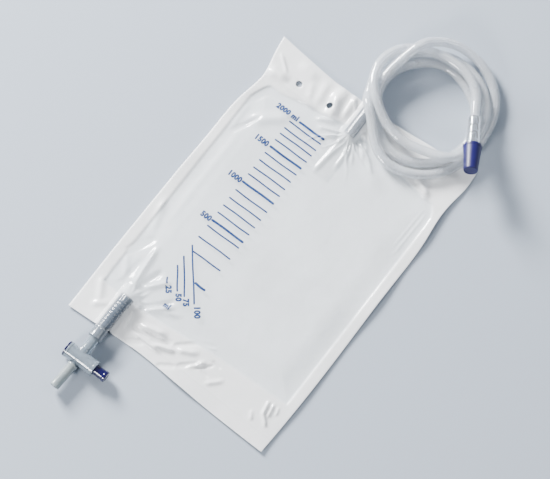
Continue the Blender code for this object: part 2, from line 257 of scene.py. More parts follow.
@dataclass(frozen=True)
class Film:
    """Soft welded film; the mesh's "weld" attribute is 1 where the two films are one. Over the sealed tubes its
    colour turns to a painted shade of dark grey.
    """

    name: str
    pouch: Colour
    seal: Colour
    roughness: float
    pouch_alpha: float = 1.0
    seal_alpha: float = 1.0
    # painted shade: dark grey on the films over the sealed tubes, standing in for the shadowed tunnel each tube
    # lies in
    painted_tube_shade: Colour = (0.10, 0.13, 0.18)
    coat: float = 0.4
    crumple: float = 0.0009

    def build(self) -> bpy.types.Material:
        """Make the material.

        Returns:
            The finished material.
        """
        graph = Graph(self.name)
        weld = graph.attribute("weld")
        cloud = graph.noise(14, 3)
        # 1 over the sealed tubes, where the film lets more through and takes the painted shade
        contact = graph.attribute("contact")
        colour = graph.mix(weld, rgba(self.pouch), rgba(self.seal))
        haze = tuple(0.94 * c for c in self.pouch)
        cloudy = graph.mix(graph.between(cloud, 0.45, 0.75) * (1 - weld), colour, rgba(haze))
        graph.set(
            # base colour turns to a painted shade of dark grey over the sealed tubes
            Base_Color=graph.mix(contact, cloudy, rgba(self.painted_tube_shade)),
            Roughness=self.roughness * (0.8 + 0.4 * graph.noise(160, 2)),
            Coat_Weight=self.coat,
            Coat_Roughness=0.12,
            IOR=1.52,
        )
        if self.pouch_alpha < 1:
            over_film = self.pouch_alpha + (self.seal_alpha - self.pouch_alpha) * weld
            graph.set(Alpha=over_film * (1 - 0.35 * contact))
        soft, fine = graph.noise(34, 3), graph.noise(220, 3)
        graph.bump(soft + 0.07 * fine + 0.012 * graph.noise(2600, 1), self.crumple)
        return graph.material


@dataclass(frozen=True)
class Ink:
    """Screen printing ink: slightly uneven blue with pin holes."""

    name: str
    colour: Colour
    thin: Colour

    def build(self) -> bpy.types.Material:
        """Make the material.

        Returns:
            The finished material.
        """
        graph = Graph(self.name)
        uneven = graph.between(graph.noise(420, 3), 0.35, 0.7)
        pin_holes = graph.between(graph.noise(5200, 1), 0.66, 0.76)
        graph.set(
            Base_Color=graph.mix(uneven, rgba(self.colour), rgba(self.thin)),
            Roughness=0.35 + 0.15 * uneven,
            Alpha=0.96 - 0.4 * pin_holes,
        )
        graph.bump(uneven, 0.00001)
        return graph.material


@dataclass(frozen=True)
class Studio:
    """Plain pale floor."""

    name: str
    colour: Colour

    def build(self) -> bpy.types.Material:
        """Make the material.

        Returns:
            The finished material.
        """
        graph = Graph(self.name)
        graph.set(Base_Color=rgba(self.colour), Roughness=0.7, Specular_IOR_Level=0.2)
        return graph.material


FINISHES = {
    "white_film": Film("white_back_film", (0.86, 0.88, 0.90), (0.90, 0.91, 0.92), 0.38, coat=0.15),
    "clear_film": Film(
        "clear_front_film", (0.80, 0.85, 0.89), (0.93, 0.94, 0.95), 0.22,
        pouch_alpha=0.55, seal_alpha=0.60, coat=0.8,
    ),
    "flap_film": Film("flap_film", (0.80, 0.82, 0.83), (0.66, 0.70, 0.74), 0.3, 0.45, 0.7),
    "ink": Ink("blue_scale_ink", (0.001, 0.022, 0.115), (0.002, 0.040, 0.16)),
    "milky_pvc": Moulded(
        "milky_inlet_hose", (0.88, 0.91, 0.94), (0.80, 0.84, 0.89), 0.12,
        alpha=0.72, transmission=0.62, coat=1.0, cloud=60, grain=500, grain_depth=0.00002,
    ),
    "clear_plastic": Moulded(
        "clear_connector", (0.84, 0.87, 0.91), (0.76, 0.80, 0.85), 0.05,
        coat=1.0, transmission=0.94, grain_depth=0.00001,
    ),
    "navy_plastic": Moulded(
        "navy_cap", (0.002, 0.001, 0.055), (0.003, 0.001, 0.075), 0.46, coat=0.06,
    ),
    "outlet_pvc": Moulded(
        "grey_outlet_hose", (0.15, 0.18, 0.22), (0.24, 0.28, 0.33), 0.16,
        coat=0.9, transmission=0.35, cloud=120,
    ),
    "valve_plastic": Moulded(
        "milky_valve", (0.40, 0.48, 0.55), (0.30, 0.37, 0.44), 0.09,
        coat=1.0, transmission=0.60, cloud=160,
    ),
    "plunger_navy": Moulded(
        "navy_plunger", (0.002, 0.001, 0.040), (0.003, 0.001, 0.055), 0.20, coat=0.8,
    ),
    "seal_rubber": Moulded(
        "seal_rubber", (0.10, 0.10, 0.11), (0.14, 0.14, 0.15), 0.55, coat=0.0, grain=2500,
    ),
    "spout_pvc": Moulded(
        "milky_spout", (0.46, 0.52, 0.53), (0.36, 0.42, 0.44), 0.20,
        coat=0.7, transmission=0.5, cloud=120,
    ),
}


# ------------------------------------------------------------------ mesh helpers
def grid_faces(rows: int, columns: int, wrap_rows: bool, wrap_columns: bool) -> np.ndarray:
    """Quads of a grid of points stored row by row.

    Args:
        rows: points along the first side.
        columns: points along the second side.
        wrap_rows: join the last row to the first.
        wrap_columns: join the last column to the first.

    Returns:
        An (n, 4) array of point indices.
    """
    row = np.arange(rows if wrap_rows else rows - 1)[:, None]
    column = np.arange(columns if wrap_columns else columns - 1)[None, :]
    following_row = (row + 1) % rows
    following = (column + 1) % columns
    quads = (
        row * columns + column, row * columns + following,
        following_row * columns + following, following_row * columns + column,
    )
    return np.stack(np.broadcast_arrays(*quads), axis=-1).reshape(-1, 4)


def mesh_object(
    name: str, points: np.ndarray, quads: np.ndarray, **values: np.ndarray,
) -> bpy.types.Object:
    """Object from arrays of points and quads.

    Args:
        name: the object's name.
        points: (n, 3) places in metres.
        quads: (m, 4) point indices.
        values: a number for each point, stored as an attribute of that name.

    Returns:
        The linked object, shaded smooth.
    """
    mesh = bpy.data.meshes.new(name)
    mesh.vertices.add(len(points))
    mesh.vertices.foreach_set("co", np.asarray(points, np.float32).ravel())
    mesh.loops.add(quads.size)
    mesh.loops.foreach_set("vertex_index", np.asarray(quads, np.int32).ravel())
    mesh.polygons.add(len(quads))
    mesh.polygons.foreach_set("loop_start", np.arange(0, quads.size, 4, dtype=np.int32))
    mesh.update(calc_edges=True)
    for key, value in values.items():
        stored = mesh.attributes.new(key, "FLOAT", "POINT")
        stored.data.foreach_set("value", np.asarray(value, np.float32).ravel())
    mesh.shade_smooth()
    made = bpy.data.objects.new(name, mesh)
    bpy.context.scene.collection.objects.link(made)
    return made


def tidy_mesh(piece: bpy.types.Object, sharp_angle: float = 32.0) -> bpy.types.Object:
    """Merge doubled points, face every wall outwards and keep sharp edges sharp.

    Args:
        piece: the object, whose mesh is changed.
        sharp_angle: degrees between faces from which an edge is sharp.

    Returns:
        The same object.
    """
    bm = bmesh.new()
    bm.from_mesh(piece.data)
    bmesh.ops.remove_doubles(bm, verts=bm.verts, dist=1e-7)
    bmesh.ops.dissolve_degenerate(bm, edges=bm.edges, dist=1e-7)
    bmesh.ops.recalc_face_normals(bm, faces=bm.faces)
    bm.to_mesh(piece.data)
    bm.free()
    piece.data.shade_smooth()
    piece.data.set_sharp_from_angle(angle=math.radians(sharp_angle))
    return piece


def natural_curve(stations: np.ndarray, values: np.ndarray, at: np.ndarray) -> np.ndarray:
    """Natural cubic through values at rising stations, read at other places.

    Each interval is a cubic whose second derivatives agree at the stations and
    are zero at both ends.

    Args:
        stations: rising numbers.
        values: one row for each station.
        at: where to read the curve.

    Returns:
        The values there.
    """
    x = np.asarray(stations, float)
    y = np.asarray(values, float).reshape(len(x), -1)
    h = np.diff(x)
    system = np.eye(len(x))
    right = np.zeros_like(y)
    inner = np.arange(1, len(x) - 1)
    system[inner, inner - 1] = h[:-1]
    system[inner, inner] = 2 * (h[:-1] + h[1:])
    system[inner, inner + 1] = h[1:]
    slope = np.diff(y, axis=0) / h[:, None]
    right[1:-1] = 6 * np.diff(slope, axis=0)
    bend = np.linalg.solve(system, right)
    flat = np.asarray(at, float).ravel()
    i = np.clip(np.searchsorted(x, flat) - 1, 0, len(h) - 1)
    a, b, span = (x[i + 1] - flat)[:, None], (flat - x[i])[:, None], h[i][:, None]
    curve = (
        (bend[i] * a**3 + bend[i + 1] * b**3) / (6 * span)
        + (y[i] / span - bend[i] * span / 6) * a
        + (y[i + 1] / span - bend[i + 1] * span / 6) * b
    )
    return curve.reshape(*np.shape(at), *np.shape(values)[1:])


def rounded(corners: list[Corner], steps: int = 5) -> np.ndarray:
    """Closed profile with rounded corners.

    A corner with a radius becomes a parabola whose ends lie that far along its
    two sides.

    Args:
        corners: (radius from the axis, height, corner radius) in order, in millimetres.
        steps: points in a rounded corner.

    Returns:
        An (n, 2) array of radius and height, in metres.
    """
    plain = np.array(corners, float)
    here, size = plain[:, :2], plain[:, 2]
    out = []
    for k, point in enumerate(here):
        before, after = here[k - 1] - point, here[(k + 1) % len(here)] - point
        if size[k] <= 0:
            out.append(point[None])
            continue
        start = point + before * min(size[k] / np.linalg.norm(before), 0.49)
        end = point + after * min(size[k] / np.linalg.norm(after), 0.49)
        t = np.linspace(0, 1, steps)[:, None]
        out.append((1 - t) ** 2 * start + 2 * t * (1 - t) * point + t**2 * end)
    return np.concatenate(out) * MM


def across(axis: Vector) -> tuple[np.ndarray, np.ndarray, np.ndarray]:
    """Three unit vectors square to each other, for an axis.

    Args:
        axis: a direction that isn't upright.

    Returns:
        A level one, one that points up from both, and the axis's own.
    """
    along = np.array(axis, float) / np.linalg.norm(axis)
    up = np.array([0.0, 0.0, 1.0]) - along[2] * along
    up /= np.linalg.norm(up)
    return np.cross(up, along), up, along


def turned(
    name: str, profile: np.ndarray, start: Vector, axis: Vector, sides: int = 72,
) -> bpy.types.Object:
    """Closed solid of revolution.

    A point is start + height * axis + radius * (cos a * side + sin a * up).

    Args:
        name: the object's name.
        profile: closed loop of (radius, height).
        start: where height is 0.
        axis: the axis's direction.
        sides: points round the axis.

    Returns:
        The new object.
    """
    side, up, along = across(axis)
    angle = np.linspace(0, 2 * math.pi, sides, endpoint=False)[None, :, None]
    radius, height = profile[:, 0][:, None, None], profile[:, 1][:, None, None]
    points = np.array(start) + height * along + radius * (np.cos(angle) * side + np.sin(angle) * up)
    quads = grid_faces(len(profile), sides, True, True)
    return tidy_mesh(mesh_object(name, points.reshape(-1, 3), quads))


def swept(name: str, path: np.ndarray, radii: list[np.ndarray], sides: int = 24) -> bpy.types.Object:
    """Hollow hose along a path that is never upright.

    A point is path + radius * (cos a * side + sin a * up), for the outer wall and
    back along the bore, so both ends close as rings.

    Args:
        name: the object's name.
        path: (n, 3) centreline.
        radii: outer and bore radius at each point of the path.
        sides: points round the hose.

    Returns:
        The new object.
    """
    tangent = np.gradient(path, axis=0)
    tangent /= np.linalg.norm(tangent, axis=1)[:, None]
    up = np.array([0.0, 0.0, 1.0]) - tangent[:, 2:] * tangent
    up /= np.linalg.norm(up, axis=1)[:, None]
    side = np.cross(up, tangent)
    line = np.concatenate([path, path[::-1]])
    radius = np.concatenate([radii[0], radii[1][::-1]])[:, None, None]
    side, up = np.concatenate([side, side[::-1]]), np.concatenate([up, up[::-1]])
    angle = np.linspace(0, 2 * math.pi, sides, endpoint=False)[None, :, None]
    ring = np.cos(angle) * side[:, None] + np.sin(angle) * up[:, None]
    points = line[:, None] + radius * ring
    quads = grid_faces(len(line), sides, True, True)
    return tidy_mesh(mesh_object(name, points.reshape(-1, 3), quads))


def rise(distance: np.ndarray, run: float) -> np.ndarray:
    """0 up to a weld and 1 from run beyond it, with no kink at either end."""
    t = np.clip(distance / run, 0, 1)
    return t * t * (3 - 2 * t)


def bell(offset: np.ndarray, width: float) -> np.ndarray:
    """1 at no offset, falling to exp(-1) at width: exp(-(offset / width) squared)."""
    return np.exp(-((offset / width) ** 2))


def above_zero(value: np.ndarray, corner: float) -> np.ndarray:
    """Value where it is above 0, and 0 below, with the corner between them rounded.

    It is half of value + sqrt(value squared + corner squared).
    """
    return 0.5 * (value + np.sqrt(value**2 + corner**2))


def axis_ends(node: str, axis: Vector) -> tuple[Vector, Vector]:
    """Middle of a turned solid's two end faces.

    Args:
        node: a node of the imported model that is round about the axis.
        axis: unit vector along it.

    Returns:
        The middles of its first and last face along the axis.
    """
    mesh = frame["nodes"][node].data
    points = np.empty(len(mesh.vertices) * 3, np.float32)
    mesh.vertices.foreach_get("co", points)
    points = np.unique(np.round(points.reshape(-1, 3).astype(float), 6), axis=0)
    along = points @ np.array(axis)
    near = points[along < along.min() + 2e-5].mean(axis=0)
    far = points[along > along.max() - 2e-5].mean(axis=0)
    return Vector(near), Vector(far)


def joint_axis(name: str) -> Vector:
    """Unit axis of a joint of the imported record."""
    found = next(joint for joint in frame["joints"] if joint["name"] == name)
    return Vector(found["axis"]).normalized()


def put(piece: bpy.types.Object, slot: str, body: Body, *replaced: str) -> bpy.types.Object:
    """Dress a piece, put it on its body and say which solids it stands for.

    Args:
        piece: the finished object.
        slot: material slot of the record.
        body: what it moves with.
        replaced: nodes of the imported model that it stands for.

    Returns:
        The same piece.
    """
    piece.data.materials.clear()
    piece.data.materials.append(MATERIALS[slot])
    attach(piece, body.value)
    if replaced:
        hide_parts(*replaced)
    LOG.info("%s rides on %s, %d faces", piece.name, body.value, len(piece.data.polygons))
    return piece


MATERIALS: dict[str, bpy.types.Material] = {}


# ------------------------------------------------------------------ film shape
@dataclass(frozen=True)
class Fold:
    """Crease or soft ridge along a straight line, in millimetres."""

    start: tuple[float, float]
    end: tuple[float, float]
    width: float
    height: float
    skew: float = 0.0

    def at(self, x: np.ndarray, y: np.ndarray) -> np.ndarray:
        """Height that the fold adds.

        Across the line it is a bell of the fold's width, with a hollow on one side
        when skewed; along the line it fades out over its own width and a third of
        its length.

        Args:
            x: places in metres.
            y: places in metres.

        Returns:
            Heights in metres.
        """
        a, b = np.array(self.start) * MM, np.array(self.end) * MM
        length = np.linalg.norm(b - a)
        tx, ty = (b - a) / length
        along = (x - a[0]) * tx + (y - a[1]) * ty
        off = ((y - a[1]) * tx - (x - a[0]) * ty) / (self.width * MM)
        fade = self.width * MM + length / 3
        ends = rise(along + fade / 2, fade) * rise(length + fade / 2 - along, fade)
        shape = bell(off, 1.0) * (1 + self.skew * off)
        return self.height * MM * shape * ends


@dataclass(frozen=True)
class Puckers:
    """Fine pleats that spread from a tube's end, in millimetres and degrees."""

    centre: tuple[float, float]
    bearings: tuple[float, ...]
    reach: float
    height: float
    near: float = 5.0
    angle: float = 5.0

    def at(self, x: np.ndarray, y: np.ndarray) -> np.ndarray:
        """Height that the pleats add.

        Each pleat is a ridge along a bearing, about angle wide, that rises beyond
        near and dies away by reach; it wanders a little, and no two neighbours
        have the same length or height.

        Args:
            x: places in metres.
            y: places in metres.

        Returns:
            Heights in metres.
        """
        dx, dy = x - self.centre[0] * MM, y - self.centre[1] * MM
        distance = np.hypot(dx, dy)
        bearing = np.degrees(np.arctan2(dy, dx))
        total = np.zeros_like(x)
        for k, towards in enumerate(self.bearings):
            reach = self.reach * MM * (1.0, 0.55, 0.8, 0.42, 0.68)[k % 5]
            bend = 6.5 * np.sin(distance / (10 * MM) + 2.1 * k)
            turn = (bearing - towards - bend + 180) % 360 - 180
            width = self.angle * (0.55 + 4 * MM / np.maximum(distance, 2 * MM))
            ridge = bell(turn, width)
            starts = rise(distance - self.near * MM * 0.5, self.near * MM)
            along = starts * rise(reach - distance, 0.7 * reach)
            total += self.height * MM * (1.0, 0.6, 0.8, 0.7)[k % 4] * ridge * along
        return total


@dataclass
class FilmShape:
    """Where the two films lie.

    The edges are smooth curves through a few stations, in millimetres. The weld
    line runs round the pouch; outside it the two films are one.
    """

    film: float = 0.4 * MM
    crown: float = 2.6 * MM
    crown_run: float = 24 * MM
    low_spot: tuple[float, float] = (58 * MM, 88 * MM)
    low_spot_run: float = 46 * MM
    low_spot_depth: float = 1.3 * MM
    swell: float = 0.5 * MM
    seam_ridge: float = 0.55 * MM
    seam_hollow: float = 0.3 * MM
    second_seam: float = 0.45 * MM
    second_seam_y: float = -138.6 * MM
    second_seam_tilt: float = 0.022
    least_gap: float = 0.12 * MM
    tunnel_fade: float = 15 * MM
    rib_pitch: float = 3.4 * MM
    edge_left: Stations = (
        (-153, -106), (-60, -106), (0, -105), (45, -104), (85, -102.3), (98, -100), (116, -98.3),
        (134, -102), (153, -105),
    )
    edge_right: Stations = (
        (-153, 104.3), (-100, 106.3), (0, 106), (40, 106), (80, 105), (100, 102.8), (120, 103.2),
        (138, 105.2), (153, 104.6),
    )
    edge_top: Stations = (
        (-105, 153), (-88, 151), (-60, 148), (-42, 146.6), (-16, 147), (18, 147.2), (45, 149.3),
        (66, 150.8), (88, 150.6), (105, 153.4),
    )
    edge_bottom: Stations = (
        (-105, -153.4), (-62, -151), (-36, -149.6), (0, -151), (40, -153.3), (105, -155),
    )
    weld_top: Stations = (
        (-105, 84), (-97, 88), (-91.5, 103), (-80, 109.5), (-62, 112.8), (-32, 117.5), (-4, 122),
        (30, 117.5), (62, 113.4), (84, 109.5), (93, 105.5), (98, 96), (105, 88),
    )
    weld_bottom: Stations = (
        (-105, -117), (-60, -119), (0, -114.2), (45, -111), (92, -109.4), (105, -109),
    )
    weld_left: float = -95.5 * MM
    weld_right: float = 97.2 * MM
    folds: tuple[Fold, ...] = (
        # top seal, left of the inlet
        Fold((-92, 92), (-84, 106), 3.0, -1.2), Fold((-84, 106), (-62, 109), 2.6, -0.9),
        Fold((-96, 120), (-80, 121), 5.0, 1.6, 0.4), Fold((-80, 119), (-45, 117), 3.2, 0.9, -0.5),
        Fold((-97, 138), (-84, 128), 1.6, 0.7, 0.6), Fold((-49, 142), (-46, 122), 4.4, 0.8, 0.5),
        Fold((-58, 133), (-52, 121), 3.5, 0.6, -0.4), Fold((-38, 137), (-27, 121), 4.5, 1.0, 0.6),
        Fold((-20, 147), (-18, 124), 3.4, 1.3, -0.5), Fold((-36, 110), (-20, 118), 2.4, 1.5, 0.6),
        Fold((-20, 143), (-14, 136), 1.2, 0.8), Fold((-34, 146), (-30, 114), 6.5, 1.9, 0.5),
        Fold((-30, 104), (-17, 111), 2.2, 1.0, 0.5), Fold((-76, 141), (-60, 138), 5.0, 0.8, 0.4),
        # left side of the pouch
        Fold((-80, 74), (-56, 95), 5.5, 1.9, 0.3), Fold((-77, 80), (-89, 58), 2.0, -1.3, 0.3),
        Fold((-92, 60), (-92, 84), 3.0, 0.7), Fold((-82, 58), (-82, -40), 4.0, 0.5, -0.6),
        Fold((-84, -62), (-95, -82), 3.0, -1.8, 0.5), Fold((-76, -70), (-73, -108), 2.6, 2.0, 0.7),
        Fold((-80, -84), (-82, -112), 3.0, -1.3), Fold((-92, -88), (-80, -106), 3.5, 1.2, -0.4),
        Fold((-60, -82), (-66, -98), 3.0, -1.7, 0.5), Fold((-97, -30), (-90, -58), 4.0, 1.1, 0.4),
        # between the outlet's end and the lower weld
        Fold((-50, -86), (-62, -100), 2.6, 1.7, 0.6), Fold((-36, -97), (-54, -116), 2.0, -1.7, 0.5),
        Fold((-33, -101), (-51, -117), 2.2, 1.5, 0.4), Fold((-24, -103), (-46, -113), 2.6, 1.0, 0.3),
        Fold((16, -106), (2, -113), 1.6, -1.2, 0.6), Fold((4, -112), (-11, -125), 1.6, -1.3, 0.6),
        Fold((19, -108), (10, -110), 1.0, 0.8),
        # bottom seal
        Fold((-16, -126), (-30, -133), 2.2, -1.9, 0.6), Fold((-28, -131), (-47, -136), 2.6, -2.1, -0.4),
        Fold((-24, -124), (-44, -129), 3.2, 2.0, 0.3), Fold((-9, -130), (-26, -136), 2.0, 1.5, 0.6),
        Fold((-20, -139), (-46, -138), 2.0, 1.4, -0.5), Fold((-36, -141), (-48, -148), 2.4, -1.4, 0.4),
        Fold((14, -126), (2, -138), 1.8, -1.7, 0.7), Fold((18, -123), (8, -133), 2.2, 1.5, 0.5),
        Fold((25, -121), (16, -130), 1.2, -1.5, 0.8), Fold((24, -117.5), (32, -118.5), 1.0, -1.0, 0.5),
        Fold((20, -130), (28, -131), 1.0, -0.7), Fold((-1, -141), (-12, -148), 1.8, -1.2, 0.5),
        Fold((40, -126), (30, -136), 2.2, 0.7, 0.6), Fold((8, -120), (-6, -127), 2.6, 1.2, 0.3),
        Fold((83, -117), (85, -128), 1.6, 1.2, 0.6), Fold((85, -128), (93, -135), 1.6, 1.2, 0.6),
        Fold((88, -116), (90, -127), 1.3, 0.9, 0.6), Fold((93, -116), (95, -122), 1.0, 0.6, 0.6),
        Fold((76, -132), (80, -138), 1.6, 0.7, 0.4),
        Fold((-98, -118), (-88, -134), 3.4, 1.1, 0.5), Fold((-90, -140), (-80, -132), 3.0, 0.9, 0.4),
        Fold((-58, -124), (-54, -140), 1.6, 0.9, 0.6),
        # right side, under the coil
        Fold((4, 124), (16, 112), 1.6, 1.1, 0.5), Fold((8, 128), (22, 116), 2.0, 1.2, 0.4),
        Fold((6, 117), (18, 104), 1.4, 1.0, 0.5), Fold((12, 112), (30, 99), 2.0, 1.1, 0.4),
        Fold((3, 110), (12, 96), 1.4, 0.9, 0.4), Fold((-8, 104), (-10, 72), 2.4, 1.2, 0.5),
        Fold((2, 106), (3, 84), 2.0, 0.9, 0.4), Fold((-14, 110), (-24, 96), 1.8, 1.0, 0.4),
        Fold((8, 108), (42, 92), 6.0, 1.3, 0.3), Fold((66, 119), (82, 112), 3.2, 1.6, 0.5),
        Fold((50, 112), (86, 108), 3.0, 0.9, -0.4), Fold((91, 96), (90, 56), 1.3, 0.5, 0.4),
        Fold((87, 98), (86, 62), 1.1, 0.35, 0.4), Fold((80, 128), (92, 140), 5.0, 1.5, 0.3),
    )
    puckers: tuple[Puckers, ...] = (
        Puckers(
            (-4, 117), (-22, -31, -39, -48, -57, -66, -77, -90, -104, -119, -133, -146, -160),
            48, 2.3, 5, 2.8,
        ),
        Puckers((-67, -119), (96, 76, 60, 47, 33, 18, 112, 128), 34, 1.6, 6, 6.0),
    )

    def edge(self, stations: Stations, at: np.ndarray) -> np.ndarray:
        """Smooth curve through stations in millimetres, read in metres."""
        table = np.array(stations, float) * MM
        return natural_curve(table[:, 0], table[:, 1], at)

    def grid(self, columns: int, rows: int) -> tuple[np.ndarray, np.ndarray]:
        """Places of a grid that fills the bag's outline.

        A straight grid of the nominal size is stretched along X between the two
        side edges and along Y between the top and bottom edges.

        Args:
            columns: points along X.
            rows: points along Y.

        Returns:
            X and Y, each (rows, columns).
        """
        low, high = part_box("back_sheet")
        s, t = np.meshgrid(np.linspace(0, 1, columns), np.linspace(0, 1, rows))
        flat_x = low.x + (high.x - low.x) * s
        flat_y = low.y + (high.y - low.y) * t
        left, right = self.edge(self.edge_left, flat_y), self.edge(self.edge_right, flat_y)
        bottom, top = self.edge(self.edge_bottom, flat_x), self.edge(self.edge_top, flat_x)
        return left + (right - left) * s, bottom + (top - bottom) * t

    def inside(self, x: np.ndarray, y: np.ndarray) -> np.ndarray:
        """Distance inside the weld line, which is the least of those to its four sides.

        Args:
            x: places in metres.
            y: places in metres.

        Returns:
            Distances in metres, negative in the seals.
        """
        top = (self.edge(self.weld_top, x) - y) * 0.9
        bottom = y - self.edge(self.weld_bottom, x)
        sides = np.minimum(x - self.weld_left, self.weld_right - x)
        return np.minimum(sides, np.minimum(top, bottom))

    def weld(self, x: np.ndarray, y: np.ndarray) -> np.ndarray:
        """1 in the seals and 0 in the pouch."""
        return 1 - rise(self.inside(x, y) + 1.5 * MM, 3 * MM)

    def contact(self, x: np.ndarray, y: np.ndarray) -> np.ndarray:
        """Where the films lie over a sealed tube: the front film clings and lets more through there, and both
        films take a painted shade of dark grey.

        Args:
            x: places in metres.
            y: places in metres.

        Returns:
            1 on a sealed tube and 0 away from it, with soft sides.
        """
        # mask over both tubes, for the clinging film and its painted shade
        beside_inlet = 1 - rise(np.abs(x - INLET.x) - 4.4 * MM, 1.6 * MM)
        inlet = beside_inlet * rise(y - INLET.end + 4 * MM, 4 * MM)
        beside_outlet = 1 - rise(np.abs(x - OUTLET.x) - 5.4 * MM, 1.6 * MM)
        outlet = beside_outlet * rise(OUTLET.end + 2 * MM - y, 4 * MM)
        return np.maximum(inlet, outlet)

    def floor_lift(self, x: np.ndarray, y: np.ndarray) -> np.ndarray:
        """How far the edges of both films wave up from the surface below.

        Each edge's wave is a product of two sines along it and dies away inwards.
        The top and bottom edges lie flat under the coil and beside the outlet, and
        the outlet hose holds the film up a little.

        Args:
            x: places in metres.
            y: places in metres.

        Returns:
            Heights in metres.
        """
        low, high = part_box("back_sheet")
        side = np.minimum(x - low.x, high.x - x)
        end = np.minimum(y - low.y, high.y - y)
        near_side = np.exp(-np.maximum(side, 0) / (13 * MM))
        near_end = np.exp(-np.maximum(end, 0) / (15 * MM))
        wave_side = 1.1 * MM * (1 + np.sin(y / (15 * MM) + 1.3)) * (0.6 + 0.4 * np.sin(y / (41 * MM)))
        wave_end = 1.0 * MM * (1 + np.sin(x / (12 * MM) + 0.4)) * (0.6 + 0.4 * np.sin(x / (31 * MM) + 2))
        under_coil = rise((x + 22 * MM) * np.sign(y), 12 * MM)
        tube = bell(x - OUTLET.x, 16 * MM) * bell(y - low.y, 26 * MM)
        ends = near_end * wave_end * (1 - under_coil) * (1 - tube)
        return near_side * wave_side + ends + 1.0 * MM * tube

    def tent(self, offset: np.ndarray, radius: float, axis_z: float, slope: float) -> np.ndarray:
        """Height of a film drawn over a tube.

        It follows a circle round the tube down to the slope's angle, then falls
        straight at that angle.

        Args:
            offset: distance from the tube's axis, across it.
            radius: the tube's, with room for the film.
            axis_z: height of the axis.
            slope: degrees at which the film leaves the tube.

        Returns:
            The film's height.
        """
        d, leave = np.abs(offset), math.radians(slope)
        foot = radius * math.sin(leave)
        arc = axis_z + np.sqrt(np.maximum(radius**2 - d**2, 0))
        line = axis_z + radius * math.cos(leave) - (d - foot) * math.tan(leave)
        return np.where(d < foot, arc, line)

    def back(self, x: np.ndarray, y: np.ndarray) -> np.ndarray:
        """Height of the back film's upper face."""
        folds = 1.6 * sum(fold.at(x, y) for fold in self.folds) + 0.9 * MM
        return self.film + self.floor_lift(x, y) + above_zero(folds, 0.35 * MM) * self.weld(x, y)

    def slack(self, x: np.ndarray, y: np.ndarray, inside: np.ndarray) -> np.ndarray:
        """Height of the slack pouch over the back film, with one low spot and a soft swell.

        Args:
            x: places in metres.
            y: places in metres.
            inside: distance inside the weld line.

        Returns:
            Heights in metres.
        """
        from_spot = np.hypot(x - self.low_spot[0], y - self.low_spot[1])
        crown = self.crown - self.low_spot_depth * bell(from_spot, self.low_spot_run)
        swell = np.sin(x / (17 * MM) + y / (29 * MM)) * np.sin(y / (23 * MM))
        return crown * rise(inside, self.crown_run) + self.swell * rise(inside, 30 * MM) * swell

    def seam(self, x: np.ndarray, y: np.ndarray, inside: np.ndarray) -> np.ndarray:
        """Ridges of the welds.

        One runs round the pouch, with a hollow inside it, and is strongest at the
        pouch's two ends; the other crosses the bottom seal.

        Args:
            x: places in metres.
            y: places in metres.
            inside: distance inside the weld line.

        Returns:
            Heights in metres.
        """
        ridge = self.seam_ridge * bell(inside, 0.8 * MM)
        hollow = self.seam_hollow * bell(inside - 2.2 * MM, 1.0 * MM)
        at_ends = 0.15 + 0.85 * rise(np.maximum(y - 88 * MM, -105 * MM - y), 8 * MM)
        off = y - self.second_seam_y + self.second_seam_tilt * (x + 30 * MM)
        second = self.second_seam * bell(off, 0.8 * MM) * rise(x + 45 * MM, 20 * MM)
        return (ridge - hollow) * at_ends + second

    def drawn_over(self, height: np.ndarray, x: np.ndarray, y: np.ndarray, tube: "SealedTube") -> np.ndarray:
        """Film's height where it is drawn over a sealed tube.

        The higher of the film and the tunnel counts, with a soft change between
        them, and the tunnel fades out past the tube's end.

        Args:
            height: the film's height without the tube.
            x: places in metres.
            y: places in metres.
            tube: the tube.

        Returns:
            The new height.
        """
        past = (y - tube.end) * tube.towards
        cover = 1 - rise(past + 1 * MM, self.tunnel_fade)
        tunnel = self.tent(x - tube.x, tube.radius + 0.7 * MM, tube.z, tube.slope)
        rib = tube.ribs * np.sin(2 * math.pi * y / self.rib_pitch)
        rib = rib * rise(-past - 4 * MM, 6 * MM) * rise(past + 24 * MM, 6 * MM)
        return height + above_zero(tunnel + rib - height, 0.8 * MM) * cover

    def front(self, x: np.ndarray, y: np.ndarray) -> np.ndarray:
        """Height of the front film's upper face.

        Over the back film lie the pouch, the folds, the pleats and the weld ridges,
        never less than the least gap, and the film is drawn over both tubes.

        Args:
            x: places in metres.
            y: places in metres.

        Returns:
            Heights in metres.
        """
        inside, weld = self.inside(x, y), self.weld(x, y)
        folds = 1.3 * sum(fold.at(x, y) for fold in self.folds) * (1 - 0.8 * weld)
        pleats = sum(pleats.at(x, y) for pleats in self.puckers) * (1 - 0.35 * weld)
        above = self.slack(x, y, inside) + folds + pleats + self.seam(x, y, inside)
        above = self.least_gap + above_zero(above - self.least_gap, 0.3 * MM)
        height = self.back(x, y) + self.film + above
        for tube in (INLET, OUTLET):
            height = self.drawn_over(height, x, y, tube)
        return height


@dataclass(frozen=True)
class SealedTube:
    """A tube between the films: its axis, its size and how the film leaves it."""

    x: float
    z: float
    radius: float
    slope: float
    ribs: float
    end: float
    towards: int


def sealed_tube(node: str, slope: float, ribs: float, end: float, towards: int) -> SealedTube:
    """Read a sealed tube's axis and radius off its node.

    Args:
        node: the tube's node.
        slope: degrees at which the film leaves the tube.
        ribs: height of the ribs that show through the film.
        end: Y where the tube ends in the pouch.
        towards: 1 where the pouch lies up the Y axis from there and -1 where it lies down it.

    Returns:
        The tube.
    """
    low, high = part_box(node)
    middle_x, middle_z, radius = (low.x + high.x) / 2, (low.z + high.z) / 2, (high.x - low.x) / 2
    return SealedTube(middle_x, middle_z, radius, slope, ribs, end, towards)


INLET = sealed_tube("inlet_tube", 52.0, 0.0, 116.5 * MM, -1)
OUTLET = sealed_tube("outlet_tube", 66.0, 0.22 * MM, -118 * MM, 1)
SHAPE = FilmShape()


